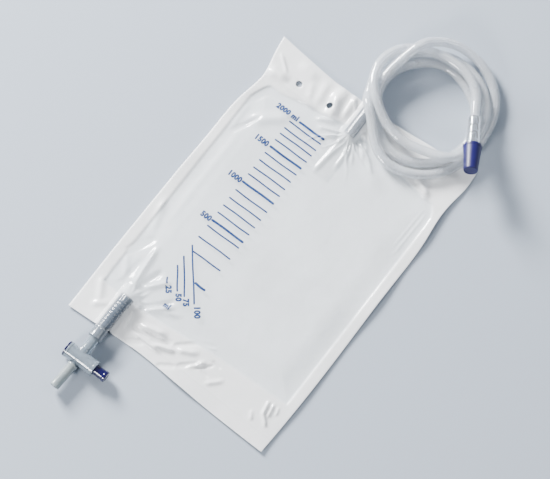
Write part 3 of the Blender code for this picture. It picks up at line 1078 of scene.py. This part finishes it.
@dataclass
class Films:
    """Back film, front film, their hanging holes and the non-return flap."""

    hole_radius: float = 3.0 * MM
    back_grid: tuple[int, int] = (150, 216)
    front_grid: tuple[int, int] = (252, 366)
    flap_bow: float = 0.5 * MM

    def holes(self) -> np.ndarray:
        """Centres of the hanging holes, two stated in the record and two mirrored.

        Returns:
            A (4, 2) array of X and Y.
        """
        openings = frame["record"]["physics"]["openings"]
        boxes = [opening["box_m"] for opening in openings if opening["name"].startswith("hanging")]
        centres = np.array(boxes).mean(axis=1)[:, :2]
        return np.concatenate([centres, centres * (-1, 1)])

    def punched(self, points: np.ndarray, quads: np.ndarray) -> tuple[np.ndarray, np.ndarray]:
        """Cut round holes in a grid.

        Quads whose middle is in a hole go, and the points left on the rim of the
        cut are drawn onto the hole's circle.

        Args:
            points: (n, 3) grid points.
            quads: (m, 4) grid quads.

        Returns:
            The moved points and the quads that stay.
        """
        points = points.copy()
        for centre in self.holes():
            middle = points[quads, :2].mean(axis=1)
            gone = np.linalg.norm(middle - centre, axis=1) < self.hole_radius
            rim = np.intersect1d(quads[gone], quads[~gone])
            out = points[rim, :2] - centre
            out /= np.linalg.norm(out, axis=1)[:, None]
            points[rim, :2] = centre + out * self.hole_radius
            quads = quads[~gone]
        used, index = np.unique(quads, return_inverse=True)
        return points[used], index.reshape(quads.shape)

    def sheet(self, name: str, grid: tuple[int, int], height: Heights) -> bpy.types.Object:
        """Film as one curved sheet with its holes.

        Args:
            name: the object's name.
            grid: points along X and Y.
            height: function of X and Y.

        Returns:
            The new object.
        """
        x, y = SHAPE.grid(*grid)
        points = np.stack([x, y, height(x, y)], axis=-1).reshape(-1, 3)
        points, quads = self.punched(points, grid_faces(grid[1], grid[0], False, False))
        x, y = points[:, 0], points[:, 1]
        # the tube mask carries both the clinging film and its painted shade
        return mesh_object(name, points, quads, weld=SHAPE.weld(x, y), contact=SHAPE.contact(x, y))

    def build(self) -> None:
        """Make both films and the flap."""
        back = self.sheet("back_film", self.back_grid, SHAPE.back)
        wall = back.modifiers.new("film", "SOLIDIFY")
        wall.thickness = SHAPE.film
        wall.offset = -1.0
        put(back, "white_film", Body.BAG, "back_sheet")
        front = self.sheet("front_film", self.front_grid, SHAPE.front)
        put(front, "clear_film", Body.BAG, "front_sheet")
        self.flap("flap_leaf_back", "reflux_flap_back", 0.0)
        self.flap("flap_leaf_front", "reflux_flap_front", 1.0)

    def flap(self, name: str, node: str, layer: float) -> None:
        """One leaf of the non-return flap, a soft strip with welded edges.

        Across the strip it bows up in the middle; along it, it waves a little more
        towards the free end.

        Args:
            name: the object's name.
            node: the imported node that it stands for.
            layer: 0 for the lower leaf and 1 for the upper.
        """
        low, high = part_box(node)
        u, v = np.meshgrid(np.linspace(-1, 1, 41), np.linspace(0, 1, 81))
        x = (low.x + high.x) / 2 + u * (high.x - low.x) / 2 * (1 - 0.04 * v**2)
        y = high.y - v * (high.y - low.y)
        lift = self.flap_bow * (1 - u**2) * (0.3 + layer) + 0.15 * MM * np.sin(7 * v + layer)
        z = SHAPE.back(x, y) + 0.3 * MM + 0.35 * MM * layer + np.abs(lift)
        edge = np.clip((np.abs(u) - 0.82) / 0.1, 0, 1)
        points = np.stack([x, y, z], axis=-1).reshape(-1, 3)
        leaf = mesh_object(name, points, grid_faces(81, 41, False, False)[:, ::-1], weld=edge)
        put(leaf, "flap_film", Body.BAG, node)


# ------------------------------------------------------------------ printed scale
@dataclass(frozen=True)
class Mark:
    """A printed stroke between two places, in millimetres."""

    start: tuple[float, float]
    end: tuple[float, float]
    width: float


@dataclass(frozen=True)
class Label:
    """A printed number: its text, its left end on the base line, height and slant."""

    text: str
    place: tuple[float, float]
    height: float
    slant: float = 0.0


@dataclass
class PrintedScale:
    """Volume scale in blue ink on the front film, in millimetres.

    A mark's level is the height of the liquid in the hanging bag, so the steps get
    longer towards the narrow start of the scale.
    """

    left: float = -54.3
    right: float = -19.0
    top_inset: float = 7.0
    thick: float = 2.15
    thin: float = 1.45
    above_film: float = 0.10 * MM
    cap_share: float = 0.72
    letter_width: float = 0.92
    letter_weight: float = 0.09
    letter_spacing: float = 1.12
    majors: tuple[float, ...] = (98.2, 65.0, 25.4, -18.2)
    minors: tuple[float, ...] = (
        93.2, 86.0, 79.9, 72.7, 57.8, 49.8, 41.6, 33.8, 15.6, 6.9, -1.6, -9.9, -24.7, -36.9,
    )
    extra: tuple[Mark, ...] = (
        Mark((-50.2, -50.5), (-19.6, -50.2), 1.45), Mark((-31.4, -72.0), (-19.3, -72.3), 2.2),
        Mark((-53.8, -46.2), (-19.6, -87.8), 1.5), Mark((-53.4, -58.3), (-30.3, -87.6), 1.5),
        Mark((-52.8, -68.2), (-38.2, -87.6), 1.5), Mark((-53.4, -82.0), (-49.6, -87.6), 1.5),
    )
    labels: tuple[Label, ...] = (
        Label("2000 ml", (-71.6, 97.2), 4.9), Label("1500", (-69.6, 62.9), 4.9),
        Label("1000", (-68.4, 22.8), 4.9), Label("500", (-64.8, -20.8), 4.9),
        Label("25", (-49.4, -89.2), 5.0, -52), Label("50", (-38.2, -89.6), 5.0, -52),
        Label("75", (-30.2, -89.4), 5.0, -52), Label("100", (-18.6, -88.8), 5.2, -52),
        Label("ml", (-41.0, -104.8), 4.8),
    )

    def strokes(self) -> list[Mark]:
        """List every stroke of the scale; the top one is short, beside its longer label.

        Returns:
            The strokes.
        """
        starts = (self.left + self.top_inset, *(self.left for _ in self.majors[1:]))
        wide = [Mark((start, y), (self.right, y), self.thick) for start, y in zip(starts, self.majors)]
        fine = [Mark((self.left, y), (self.right, y), self.thin) for y in self.minors]
        return [*wide, *fine, *self.extra]

    def draped(self, x: np.ndarray, y: np.ndarray) -> np.ndarray:
        """Points of the ink on the film at X and Y."""
        return np.stack([x, y, SHAPE.front(x, y) + self.above_film], axis=-1)

    def stroke(self, mark: Mark, index: int) -> tuple[np.ndarray, np.ndarray]:
        """Grid of one stroke with softly rounded ends.

        Across is the stroke's width, which shrinks as a circle at both ends; along
        bows by a tenth of a millimetre, as hand-drawn film does.

        Args:
            mark: the stroke.
            index: its number, which sets the bow.

        Returns:
            Points and quads.
        """
        a, b = np.array(mark.start) * MM, np.array(mark.end) * MM
        length, half = np.linalg.norm(b - a), mark.width * MM / 2
        rows = max(12, int(length / (0.6 * MM)))
        along, side = np.meshgrid(np.linspace(0, length, rows), np.linspace(-1, 1, 5), indexing="ij")
        end = np.clip(np.minimum(along, length - along) / half, 0, 1)
        width = half * np.sqrt(np.maximum(1 - (1 - end) ** 2, 0.02))
        bow = 0.15 * MM * np.sin(2.2 * math.pi * along / length + 1.7 * index)
        tx, ty = (b - a) / length
        across_stroke = side * width + bow
        x, y = a[0] + along * tx - across_stroke * ty, a[1] + along * ty + across_stroke * tx
        return self.draped(x, y).reshape(-1, 3), grid_faces(rows, 5, False, False)

    def lettering(self, label: Label, index: int) -> bpy.types.Object:
        """One label as a fine mesh laid on the film.

        Args:
            label: what it says and where.
            index: its number, for its name.

        Returns:
            The new object.
        """
        font = bpy.data.curves.new(f"scale_label_{index}", "FONT")
        font.body = label.text
        font.size = label.height * MM / self.cap_share
        font.offset = self.letter_weight * label.height * MM
        font.space_character = self.letter_spacing
        font.resolution_u = 5
        text = bpy.data.objects.new(font.name, font)
        bpy.context.scene.collection.objects.link(text)
        bpy.context.view_layer.update()
        mesh = bpy.data.meshes.new_from_object(text.evaluated_get(bpy.context.evaluated_depsgraph_get()))
        bpy.data.objects.remove(text)
        bm = bmesh.new()
        bm.from_mesh(mesh)
        bmesh.ops.triangulate(bm, faces=bm.faces)
        long_edges = [e for e in bm.edges if e.calc_length() > 0.6 * MM]
        bmesh.ops.subdivide_edges(bm, edges=long_edges, cuts=2, use_grid_fill=True)
        bmesh.ops.triangulate(bm, faces=bm.faces)
        bm.to_mesh(mesh)
        bm.free()
        flat = np.empty(len(mesh.vertices) * 3, np.float32)
        mesh.vertices.foreach_get("co", flat)
        u, v = flat.reshape(-1, 3)[:, 0] * self.letter_width, flat.reshape(-1, 3)[:, 1]
        turn = math.radians(label.slant)
        x = label.place[0] * MM + u * math.cos(turn) - v * math.sin(turn)
        y = label.place[1] * MM + u * math.sin(turn) + v * math.cos(turn)
        mesh.vertices.foreach_set("co", self.draped(x, y).astype(np.float32).ravel())
        made = bpy.data.objects.new(font.name, mesh)
        bpy.context.scene.collection.objects.link(made)
        return made

    def build(self) -> None:
        """Print the strokes as one piece and each label as one."""
        points, quads, count = [], [], 0
        for index, mark in enumerate(self.strokes()):
            where, faces = self.stroke(mark, index)
            points.append(where)
            quads.append(faces + count)
            count += len(where)
        strokes = mesh_object("scale_marks", np.concatenate(points), np.concatenate(quads))
        printed = [strokes, *(self.lettering(label, k) for k, label in enumerate(self.labels))]
        for piece in printed:
            piece.data.materials.clear()
            piece.data.materials.append(MATERIALS["ink"])
            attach(piece, Body.BAG.value)
        LOG.info("scale of %d strokes and %d labels", len(self.strokes()), len(self.labels))


# ------------------------------------------------------------------ inlet hose
@dataclass
class InletHose:
    """The inlet hose, from the pouch through its coil into the connector.

    Each row of turns is one turn's stations: bearing from the coil's middle in
    degrees, running clockwise, distance and height in millimetres.
    """

    bore: float = 3.0 * MM
    middle: tuple[float, float] = (36.5 * MM, 175 * MM)
    step: float = 4 * MM
    rounds: int = 220
    passes: int = 3
    spacing: float = 9.1 * MM
    sink: float = 0.06 * MM
    home: float = 0.10
    same_strand: int = 9
    lead_points: int = 16
    lead_top: float = 148 * MM
    fixed_start: int = 8
    fixed_end: int = 5
    turns: tuple[tuple[Corner, ...], ...] = (
        ((194, 46.0, 4.7), (180, 46.3, 4.4), (157, 44.6, 4.4), (135, 43.2, 4.4), (110, 42.8, 4.4),
         (86, 40.6, 4.4), (60, 39.5, 4.4), (37, 41.5, 4.4), (10, 45.0, 4.4), (-20, 46.8, 5.2),
         (-50, 48.8, 5.6), (-92, 50.3, 5.6), (-118, 47.8, 8.0), (-136, 47.0, 14.6)),
        ((-158, 46.2, 14.6), (-180, 46.5, 13.2), (-203, 47.5, 14.5), (-218, 51.5, 20.5),
         (-236, 57.5, 16.0), (-257, 61.7, 7.0), (-277, 62.2, 4.4), (-300, 61.2, 4.4),
         (-325, 58.2, 4.4), (-348, 54.6, 4.4), (-372, 55.0, 4.4), (-402, 58.6, 5.4),
         (-436, 61.3, 5.6), (-452, 61.4, 5.6), (-470, 56.6, 6.5), (-490, 51.4, 15.0)),
        ((-506, 51.8, 20.4), (-524, 53.8, 12.0), (-542, 55.8, 4.8), (-565, 53.6, 4.4),
         (-590, 52.2, 4.4), (-630, 51.6, 4.4), (-672, 51.0, 4.4), (-700, 50.6, 6.5),
         (-722, 50.6, 12.6), (-747, 50.8, 13.0), (-766, 44.0, 11.5), (-784, 39.6, 6.0),
         (-812, 39.0, 5.6), (-836, 39.8, 5.8), (-850, 41.4, 13.0), (-864, 44.4, 25.0)),
        ((-878, 49.6, 25.0), (-900, 56.6, 14.4), (-922, 58.6, 12.0), (-938, 55.6, 12.2),
         (-955, 51.0, 12.6), (-980, 46.6, 12.4), (-1015, 44.4, 12.4), (-1034, 42.4, 13.6)),
    )

    def natural_route(self) -> np.ndarray:
        """Chosen route, before the strands settle.

        It is straight through the seal, then a smooth curve through every turn's
        stations, and straight again along the connector's axis.

        Returns:
            An (n, 3) array of points.
        """
        low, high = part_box("inlet_tube")
        table = np.array([station for turn in self.turns for station in turn], float)
        bearing = -table[:, 0]
        at = np.arange(bearing[0], bearing[-1], 4.5)
        smooth = natural_curve(bearing, table[:, 1:], at)
        angle = np.radians(-at)
        coil = np.stack([
            self.middle[0] + smooth[:, 0] * MM * np.cos(angle),
            self.middle[1] + smooth[:, 0] * MM * np.sin(angle),
            smooth[:, 1] * MM,
        ], axis=-1)
        lead = np.stack([
            np.full(10, INLET.x), np.linspace(low.y, self.lead_top, 10), np.full(10, INLET.z),
        ], axis=-1)
        axis = joint_axis("cap_pull")
        start, _ = axis_ends("connector", axis)
        into = np.array([start + axis * d * MM for d in (-8, -4, 0, 5, 10, 17.4)])
        return np.concatenate([lead, coil, into])

    def resampled(self, route: np.ndarray, step: float) -> np.ndarray:
        """Points about a step apart on a natural cubic through the route.

        Args:
            route: the points to pass through.
            step: the distance between the new points.

        Returns:
            An (n, 3) array of points.
        """
        length = np.concatenate([[0], np.cumsum(np.linalg.norm(np.diff(route, axis=0), axis=1))])
        count = int(round(length[-1] / step)) + 1
        return natural_curve(length, route, np.linspace(0, length[-1], count))

    def support(self, points: np.ndarray) -> np.ndarray:
        """Lowest height at which the hose's centre can lie over the bag or the floor.

        Args:
            points: the route's points.

        Returns:
            One height for each point.
        """
        low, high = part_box("back_sheet")
        on_bag = (points[:, 1] < high.y - 5 * MM) & (np.abs(points[:, 0]) < high.x)
        seal = np.where(on_bag, 2 * SHAPE.film + 0.5 * MM, 0.0)
        tunnel = INLET.z + INLET.radius + 1.0 * MM - 0.9 * np.abs(points[:, 0] - INLET.x)
        tunnel = np.where(on_bag, tunnel, 0.0)
        return INLET.radius + np.maximum(np.maximum(seal, tunnel), 0.05 * MM)

    def parted(self, points: np.ndarray, apart: np.ndarray) -> np.ndarray:
        """How far each point moves to part strands that are too close.

        A point moves by a share of the average of what is missing, away from each
        strand that is nearer than the spacing, and more up or down than sideways.

        Args:
            points: the route's points.
            apart: which pairs of points are on different strands.

        Returns:
            One move for each point.
        """
        delta = points[:, None] - points[None, :]
        distance = np.linalg.norm(delta, axis=-1) + 1e-9
        lacking = np.where(apart, np.maximum(self.spacing - distance, 0), 0)
        touching = np.maximum((lacking > 0).sum(axis=1), 1)[:, None]
        move = (delta / distance[..., None] * lacking[..., None]).sum(axis=1) / touching
        return move * (0.18, 0.18, 0.6)

    def settled(self, route: np.ndarray) -> np.ndarray:
        """Route with its strands pushed a diameter apart and laid on what is below.

        In each round the hose straightens a little, sinks, and is drawn back to its
        place in plan; then strands that are too close part, and points below their
        support rise onto it. The straightening and the sinking ease off to nothing.

        Args:
            route: the chosen route.

        Returns:
            The settled route, with its two ends where they were.
        """
        points = self.resampled(route, self.step)
        index = np.arange(len(points))
        apart = np.abs(index[:, None] - index[None, :]) > self.same_strand
        from_end = np.minimum(index - self.fixed_start, len(points) - self.fixed_end - index)
        free = rise(from_end.clip(0), 4)[:, None]
        crossing = index > self.lead_points
        plan = points.copy()
        for turn in range(self.rounds):
            ease = 1 - turn / self.rounds
            straight = np.zeros_like(points)
            straight[4:-4] = (points[:-8] + points[8:]) / 2 - points[4:-4]
            smooth = np.zeros_like(points)
            smooth[2:-2] = (
                -points[:-4] + 4 * points[1:-3] - 6 * points[2:-2] + 4 * points[3:-1] - points[4:]
            ) / 16
            straight = straight * (0.02, 0.02, 0.14) * (0.25 + 0.75 * ease)
            home = (plan - points) * (self.home, self.home, 0)
            sink = np.array([0, 0, -self.sink]) * ease
            points = points + free * (0.6 * smooth + home + sink + straight)
            for _ in range(self.passes):
                points = points + free * self.parted(points, apart)
                low = np.where(crossing, self.support(points), INLET.radius)
                points[:, 2] = np.where(free[:, 0] > 0, np.maximum(points[:, 2], low), points[:, 2])
        LOG.info("inlet hose: top of its middle line %.1f mm", points[:, 2].max() / MM)
        return self.resampled(points, 2 * MM)

    def build(self) -> tuple[bpy.types.Object, np.ndarray]:
        """Make the hose.

        Returns:
            The hose and its centreline.
        """
        path = self.settled(self.natural_route())
        ones = np.ones(len(path))
        hose = swept("inlet_hose", path, [INLET.radius * ones, self.bore * ones], 26)
        put(hose, "milky_pvc", Body.BAG, "inlet_tube", "inlet_coil", "inlet_tube_end")
        return hose, path


@dataclass
class Connector:
    """Clear stepped connector and its navy cap, on one slanting axis, in millimetres."""

    radius: float = 5.8
    collar: float = 6.65
    socket_depth: float = 18.0
    tip_bore: float = 2.4
    cap_wall: float = 1.1
    cap_mouth: float = 8.5
    cap_end: float = 6.3

    def body_profile(self, grip: float, reach: float) -> np.ndarray:
        """Stepped outside, taper and bore of the connector.

        Args:
            grip: from the hose's end to the cap's mouth.
            reach: from the hose's end to the tip.

        Returns:
            Its closed profile.
        """
        r, wide = self.radius, self.collar
        socket = INLET.radius / MM + 0.25
        return rounded([
            (socket, 0.3, 0), (socket + 0.5, 0, 0.2), (4.9, 0.05, 0.5), (r, 1.5, 0.7),
            (r, 7.6, 0.3), (r - 0.55, 8.2, 0.2), (r - 0.55, 9.2, 0.2), (r + 0.1, 9.9, 0.3),
            (r + 0.2, 15.4, 0.3), (r - 0.3, 16.0, 0.2), (r - 0.3, 17.0, 0.2), (r + 0.25, 17.7, 0.3),
            (r + 0.35, 24.6, 0.3), (r - 0.1, 25.2, 0.2), (r - 0.1, 26.2, 0.2), (wide, 26.8, 0.3),
            (wide, grip - 0.9, 0.3), (4.9, grip - 0.5, 0.2), (3.4, reach, 0.3),
            (self.tip_bore, reach, 0.2), (self.tip_bore, self.socket_depth + 0.5, 0.2),
            (socket, self.socket_depth, 0),
        ])

    def cap_profile(self, length: float) -> np.ndarray:
        """Tapered cup with a rim round its mouth and a closed end.

        Args:
            length: the cap's length.

        Returns:
            Its closed profile.
        """
        mouth, end, wall = self.cap_mouth, self.cap_end, self.cap_wall
        return rounded([
            (mouth - wall, 0, 0.2), (mouth, 0, 0.35), (mouth - 0.05, 2.4, 0.2), (mouth - 0.4, 2.8, 0.25),
            (end, length, 1.5), (end - 1.3, length, 0), (end - 1.7, length - 0.3, 0),
            (0, length - 0.3, 0), (0, length - 2 * wall, 0), (end - 0.1 - wall, length - 2 * wall, 0.6),
            (mouth - 0.6 - wall, 2.8, 0.3),
        ], 7)

    def build(self) -> tuple[bpy.types.Object, bpy.types.Object]:
        """Make both pieces.

        Returns:
            The connector and the cap.
        """
        axis = joint_axis("cap_pull")
        start, tip = axis_ends("connector", axis)
        mouth, end = axis_ends("connector_cap", axis)
        stepped = self.body_profile((mouth - start).length / MM, (tip - start).length / MM)
        body = turned("tube_connector", stepped, start, axis, 80)
        put(body, "clear_plastic", Body.BAG, "connector")
        cap = turned("push_on_cap", self.cap_profile((end - mouth).length / MM), mouth, axis, 88)
        put(cap, "navy_plastic", Body.CAP, "connector_cap")
        return body, cap


# ------------------------------------------------------------------ outlet
def combined(
    name: str, body: bpy.types.Object, steps: list[tuple[str, bpy.types.Object]],
) -> bpy.types.Object:
    """Join and cut solids, in order, into one closed mesh.

    Args:
        name: the new object's name.
        body: what the others are joined to or cut from.
        steps: (operation, other solid); every solid is used up.

    Returns:
        The new object.
    """
    for operation, other in steps:
        modifier = body.modifiers.new(other.name, "BOOLEAN")
        modifier.operation = operation
        modifier.solver = "EXACT"
        modifier.object = other
    bpy.context.view_layer.update()
    mesh = bpy.data.meshes.new_from_object(body.evaluated_get(bpy.context.evaluated_depsgraph_get()))
    for used in (body, *(other for _, other in steps)):
        bpy.data.objects.remove(used)
    mesh.name = name
    made = bpy.data.objects.new(name, mesh)
    bpy.context.scene.collection.objects.link(made)
    mesh.shade_smooth()
    mesh.set_sharp_from_angle(angle=math.radians(32))
    return made


@dataclass
class Outlet:
    """Outlet hose, its sleeve, the cross valve and the drain spout, in millimetres."""

    bore: float = 4.2
    rib_height: float = 0.25
    rib_pitch: float = 3.4
    bend: float = 1.6
    barrel_bore: float = 5.0
    stem_radius: float = 5.6
    nipple_radius: float = 3.9
    flow_bore: float = 2.4
    nozzle_radius: float = 3.3
    nozzle_reach: float = 20.0
    lug_length: float = 6.4
    rod: float = 4.7
    waist: float = 2.6
    groove: float = 3.75
    flange: float = 7.4
    head: float = 5.25
    ring_section: float = 0.5

    def hose(self) -> None:
        """Outlet hose with a slight bend and moulded ribs where it is gripped."""
        low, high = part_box("outlet_tube")
        y = np.linspace(high.y, low.y, 150)
        sway = self.bend * MM * rise(y - (high.y - 24 * MM), 24 * MM)
        path = np.stack([OUTLET.x + 0 * y + sway, y, OUTLET.z + 0 * y], axis=-1)
        gripped = (y > low.y + 12 * MM) & (y < high.y - 5 * MM)
        ribs = self.rib_height * MM * np.sin(2 * math.pi * y / (self.rib_pitch * MM)) * gripped
        outer = OUTLET.radius - 0.3 * MM + ribs
        hose = swept("outlet_hose", path, [outer, self.bore * MM + 0 * y], 40)
        put(hose, "outlet_pvc", Body.BAG, "outlet_tube")

    def sleeve(self) -> None:
        """Flared sleeve with a rolled rim at both ends."""
        low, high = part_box("outlet_sleeve")
        length, rim = (high.y - low.y) / MM, (high.x - low.x) / 2 / MM
        inner = OUTLET.radius / MM + 0.3
        flared = rounded([
            (inner, 0, 0), (rim - 0.2, 0, 0.3), (rim - 0.1, 0.9, 0.3), (rim - 0.5, 1.4, 0.3),
            (rim - 0.3, length - 2.4, 0.4), (rim, length - 1.4, 0.5), (rim, length - 0.3, 0.3),
            (rim - 0.4, length, 0.2), (inner, length, 0),
        ])
        collar = turned("outlet_collar", flared, Vector((OUTLET.x, high.y, OUTLET.z)), Vector((0, -1, 0)))
        put(collar, "outlet_pvc", Body.BAG, "outlet_sleeve")

    def barrel_profile(self, radius: float, length: float) -> np.ndarray:
        """Solid barrel with a raised ring at each end."""
        body = radius - 0.35
        return rounded([
            (0, 0, 0), (radius, 0, 0.4), (radius, 1.8, 0.2), (body, 2.2, 0.2),
            (body, length - 2.6, 0.2), (radius, length - 2.2, 0.2), (radius, length, 0.4), (0, length, 0),
        ])

    def stem_profile(self, top: float, tip: float) -> np.ndarray:
        """Solid stem with a foot, a shoulder under the sleeve and a nipple.

        Args:
            top: where the shoulder ends.
            tip: where the nipple ends.

        Returns:
            Its closed profile, from the barrel's axis.
        """
        r, nipple = self.stem_radius, self.nipple_radius
        return rounded([
            (0, 2.5, 0), (r + 0.5, 2.5, 0), (r + 0.4, 8.6, 0.8), (r - 0.3, 9.6, 0.5),
            (r - 0.3, top - 5.4, 0.4), (r, top - 4.6, 0.4), (r, top, 0.3), (nipple, top, 0.2),
            (nipple - 0.4, tip, 0.3), (0, tip, 0),
        ])

    def valve(self) -> None:
        """Cross valve body: barrel with end rings, stem with two lugs, nipple and nozzle."""
        low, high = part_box("valve_body")
        plunger_low, plunger_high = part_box("valve_plunger")
        across_bag, up_bag = Vector((1, 0, 0)), Vector((0, 1, 0))
        centre = Vector((OUTLET.x, (plunger_low.y + plunger_high.y) / 2, OUTLET.z))
        left, length = Vector((low.x, centre.y, centre.z)), (high.x - low.x) / MM
        top = (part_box("outlet_tube")[0].y - centre.y) / MM - 0.3
        spout_low, spout_high = self.spout_line()
        down = (spout_high - spout_low).normalized()
        nozzle, reach = self.nozzle_radius, self.nozzle_reach
        body = turned("barrel", self.barrel_profile((OUTLET.z - low.z) / MM, length), left, across_bag, 80)
        stem = self.stem_profile(top, (high.y - centre.y) / MM)
        outlet = rounded([(0, 2.5, 0), (nozzle, 2.5, 0), (nozzle, reach, 0.3), (0, reach, 0)])
        lug = rounded([(0, 0, 0), (1.3, 0, 0), (1.1, self.lug_length, 0.4), (0, self.lug_length, 0)])
        bore = rounded([
            (0, -1, 0), (self.barrel_bore, -1, 0), (self.barrel_bore, length + 1, 0), (0, length + 1, 0),
        ])
        flow = rounded([(0, 0, 0), (self.flow_bore, 0, 0), (self.flow_bore, 60, 0), (0, 60, 0)])
        foot = centre + up_bag * (top - 1.5) * MM
        steps = [
            ("UNION", turned("stem", stem, centre, up_bag, 74)),
            ("UNION", turned("nozzle", outlet, centre, down, 58)),
            ("UNION", turned("lug_left", lug, foot, Vector((-1, 0, 0.02)), 22)),
            ("UNION", turned("lug_right", lug, foot, Vector((1, 0, 0.02)), 22)),
            ("DIFFERENCE", turned("bore", bore, left, across_bag, 62)),
            ("DIFFERENCE", turned("flow_up", flow, centre, up_bag, 46)),
            ("DIFFERENCE", turned("flow_down", flow, centre, down, 42)),
        ]
        put(combined("cross_valve", body, steps), "valve_plastic", Body.BAG, "valve_body")

    def spout_line(self) -> tuple[Vector, Vector]:
        """Find the spout's axis, from its mount and its node.

        Returns:
            Its end at the valve and its open end.
        """
        mount = next(m for m in frame["record"]["mounts"] if m["name"] == "spout_end")
        axis = Vector(mount["axis"]).normalized()
        return axis_ends("drain_spout", axis)

    def spout(self) -> None:
        """Soft spout with a worn, slightly flared mouth."""
        start, end = self.spout_line()
        length = (end - start).length / MM
        flared = rounded([
            (3.55, 0, 0.1), (4.9, 0, 0.3), (4.95, 1.2, 0.3), (4.6, 1.8, 0.4), (4.55, length - 4, 0.8),
            (4.75, length, 0.25), (3.8, length, 0.2), (3.55, length - 2, 0.4),
        ])
        spout = turned("spout_hose", flared, start, end - start)
        put(spout, "spout_pvc", Body.BAG, "drain_spout")

    def plunger(self) -> None:
        """Push-pull plunger and its two sealing rings."""
        axis = Vector((1, 0, 0))
        start, end = axis_ends("valve_plunger", axis)
        length = (end - start).length / MM
        rod, head, flange = self.rod, self.head, self.flange
        rings = [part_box("plunger_seal_inner"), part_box("plunger_seal_outer")]
        grooves = []
        for low, high in rings:
            a, b = (low.x - start.x) / MM - 0.25, (high.x - start.x) / MM + 0.25
            grooves += [(rod, a, 0.1), (self.groove, a, 0.1), (self.groove, b, 0.1), (rod, b, 0.1)]
        neck_start = (rings[0][1].x - start.x) / MM + 1.1
        neck_end = (rings[1][0].x - start.x) / MM - 1.1
        neck = [
            (rod, neck_start, 0.2), (self.waist, neck_start, 0.4),
            (self.waist, neck_end, 0.4), (rod, neck_end, 0.2),
        ]
        profile = rounded([
            (0, 0.25, 0), (5.6, 0.25, 0.2), (6.2, 0, 0.3), (flange, 0, 0.35), (flange, 1.4, 0.3),
            (rod, 1.4, 0.1), *grooves[:4], *neck, *grooves[4:], (rod, length - 3.2, 0.3),
            (head, length - 2.5, 0.3), (head, length, 0.8), (3.4, length, 0.2),
            (3.1, length - 0.35, 0.2), (0, length - 0.35, 0),
        ])
        plunger = turned("push_plunger", profile, start, axis, 80)
        put(plunger, "plunger_navy", Body.PLUNGER, "valve_plunger")
        angle = np.linspace(0, 2 * math.pi, 20, endpoint=False)
        section = self.ring_section * MM
        for name, (low, high) in zip(("seal_ring_inner", "seal_ring_outer"), rings):
            half = (high.x - low.x) / 2
            round_section = np.stack([
                4.45 * MM + section * np.cos(angle), half + section * np.sin(angle),
            ], axis=-1)
            ring = turned(name, round_section, Vector((low.x, start.y, start.z)), axis, 64)
            put(ring, "seal_rubber", Body.PLUNGER, name.replace("seal_ring", "plunger_seal"))

    def build(self) -> None:
        """Make every piece of the outlet."""
        self.hose()
        self.sleeve()
        self.valve()
        self.spout()
        self.plunger()


# ------------------------------------------------------------------ stage
def facing(place: Vector, target: Vector) -> Matrix:
    """Matrix of a lamp or camera at a place, turned to face the target."""
    return Matrix.Translation(place) @ (target - place).to_track_quat("-Z", "Y").to_matrix().to_4x4()


@dataclass(frozen=True)
class Lamp:
    """Square soft light: its place, its side in metres, its watts and its tint."""

    name: str
    place: tuple[float, float, float]
    size: float
    power: float
    tint: Colour

    def build(self, target: Vector) -> None:
        """Put the light up.

        Args:
            target: what it faces.
        """
        data = bpy.data.lights.new(self.name, "AREA")
        data.shape = "SQUARE"
        data.size = self.size
        data.energy = self.power
        data.color = self.tint
        lamp = bpy.data.objects.new(self.name, data)
        lamp.matrix_world = facing(Vector(self.place), target)
        bpy.context.scene.collection.objects.link(lamp)


@dataclass
class Stage:
    """Pale floor, soft lights and the camera."""

    target: tuple[float, float, float] = (0.0002, 0.0014, 0.0)
    azimuth: float = -52.734
    tilt: float = 14.233
    distance: float = 2.8
    lens: float = 211.07
    floor_reach: float = 6.0
    floor_drop: float = 0.00005
    floor_colour: Colour = (0.36, 0.41, 0.48)
    sky_colour: Colour = (0.80, 0.86, 0.95)
    sky_strength: float = 0.36
    lamps: tuple[Lamp, ...] = (
        Lamp("key", (-1.95, 0.6, 1.05), 0.7, 270, (1, 1, 1)),
        Lamp("fill", (1.3, 0.9, 1.7), 1.5, 18, (0.95, 0.97, 1)),
        Lamp("front", (-0.35, -1.6, 0.9), 0.45, 34, (1, 1, 1)),
    )

    def floor(self) -> None:
        """Large pale floor under the bag."""
        side = np.array([-self.floor_reach, self.floor_reach])
        x, y = np.meshgrid(side, side)
        points = np.stack([x, y, 0 * x - self.floor_drop], axis=-1).reshape(-1, 3)
        plane = mesh_object("floor", points, grid_faces(2, 2, False, False))
        plane.data.materials.append(Studio("pale_floor", self.floor_colour).build())

    def camera(self) -> None:
        """Camera that looks down on the bag from its lower right."""
        around, tilt = math.radians(self.azimuth), math.radians(self.tilt)
        away = Vector((math.sin(tilt) * math.cos(around), math.sin(tilt) * math.sin(around), math.cos(tilt)))
        place = Vector(self.target) + self.distance * away
        data = bpy.data.cameras.new("camera")
        data.lens = self.lens
        data.sensor_width = 36
        data.sensor_fit = "HORIZONTAL"
        data.clip_end = 50
        camera = bpy.data.objects.new("camera", data)
        camera.matrix_world = facing(place, Vector(self.target))
        bpy.context.scene.collection.objects.link(camera)
        bpy.context.scene.camera = camera

    def build(self) -> None:
        """Set the whole stage."""
        self.floor()
        for lamp in self.lamps:
            lamp.build(Vector(self.target))
        world = bpy.data.worlds.new("studio")
        world.use_nodes = True
        background = world.node_tree.nodes["Background"]
        background.inputs["Color"].default_value = rgba(self.sky_colour)
        background.inputs["Strength"].default_value = self.sky_strength
        bpy.context.scene.world = world
        self.camera()


def main() -> None:
    """Build the stage and every sub-assembly, in order."""
    logging.basicConfig(level=logging.INFO, format="%(message)s")
    Stage().build()
    MATERIALS.update({slot: finish.build() for slot, finish in FINISHES.items()})
    hose, path = InletHose().build()
    connector, cap = Connector().build()
    Films().build()
    PrintedScale().build()
    Outlet().build()


if __name__ == "__main__":
    main()
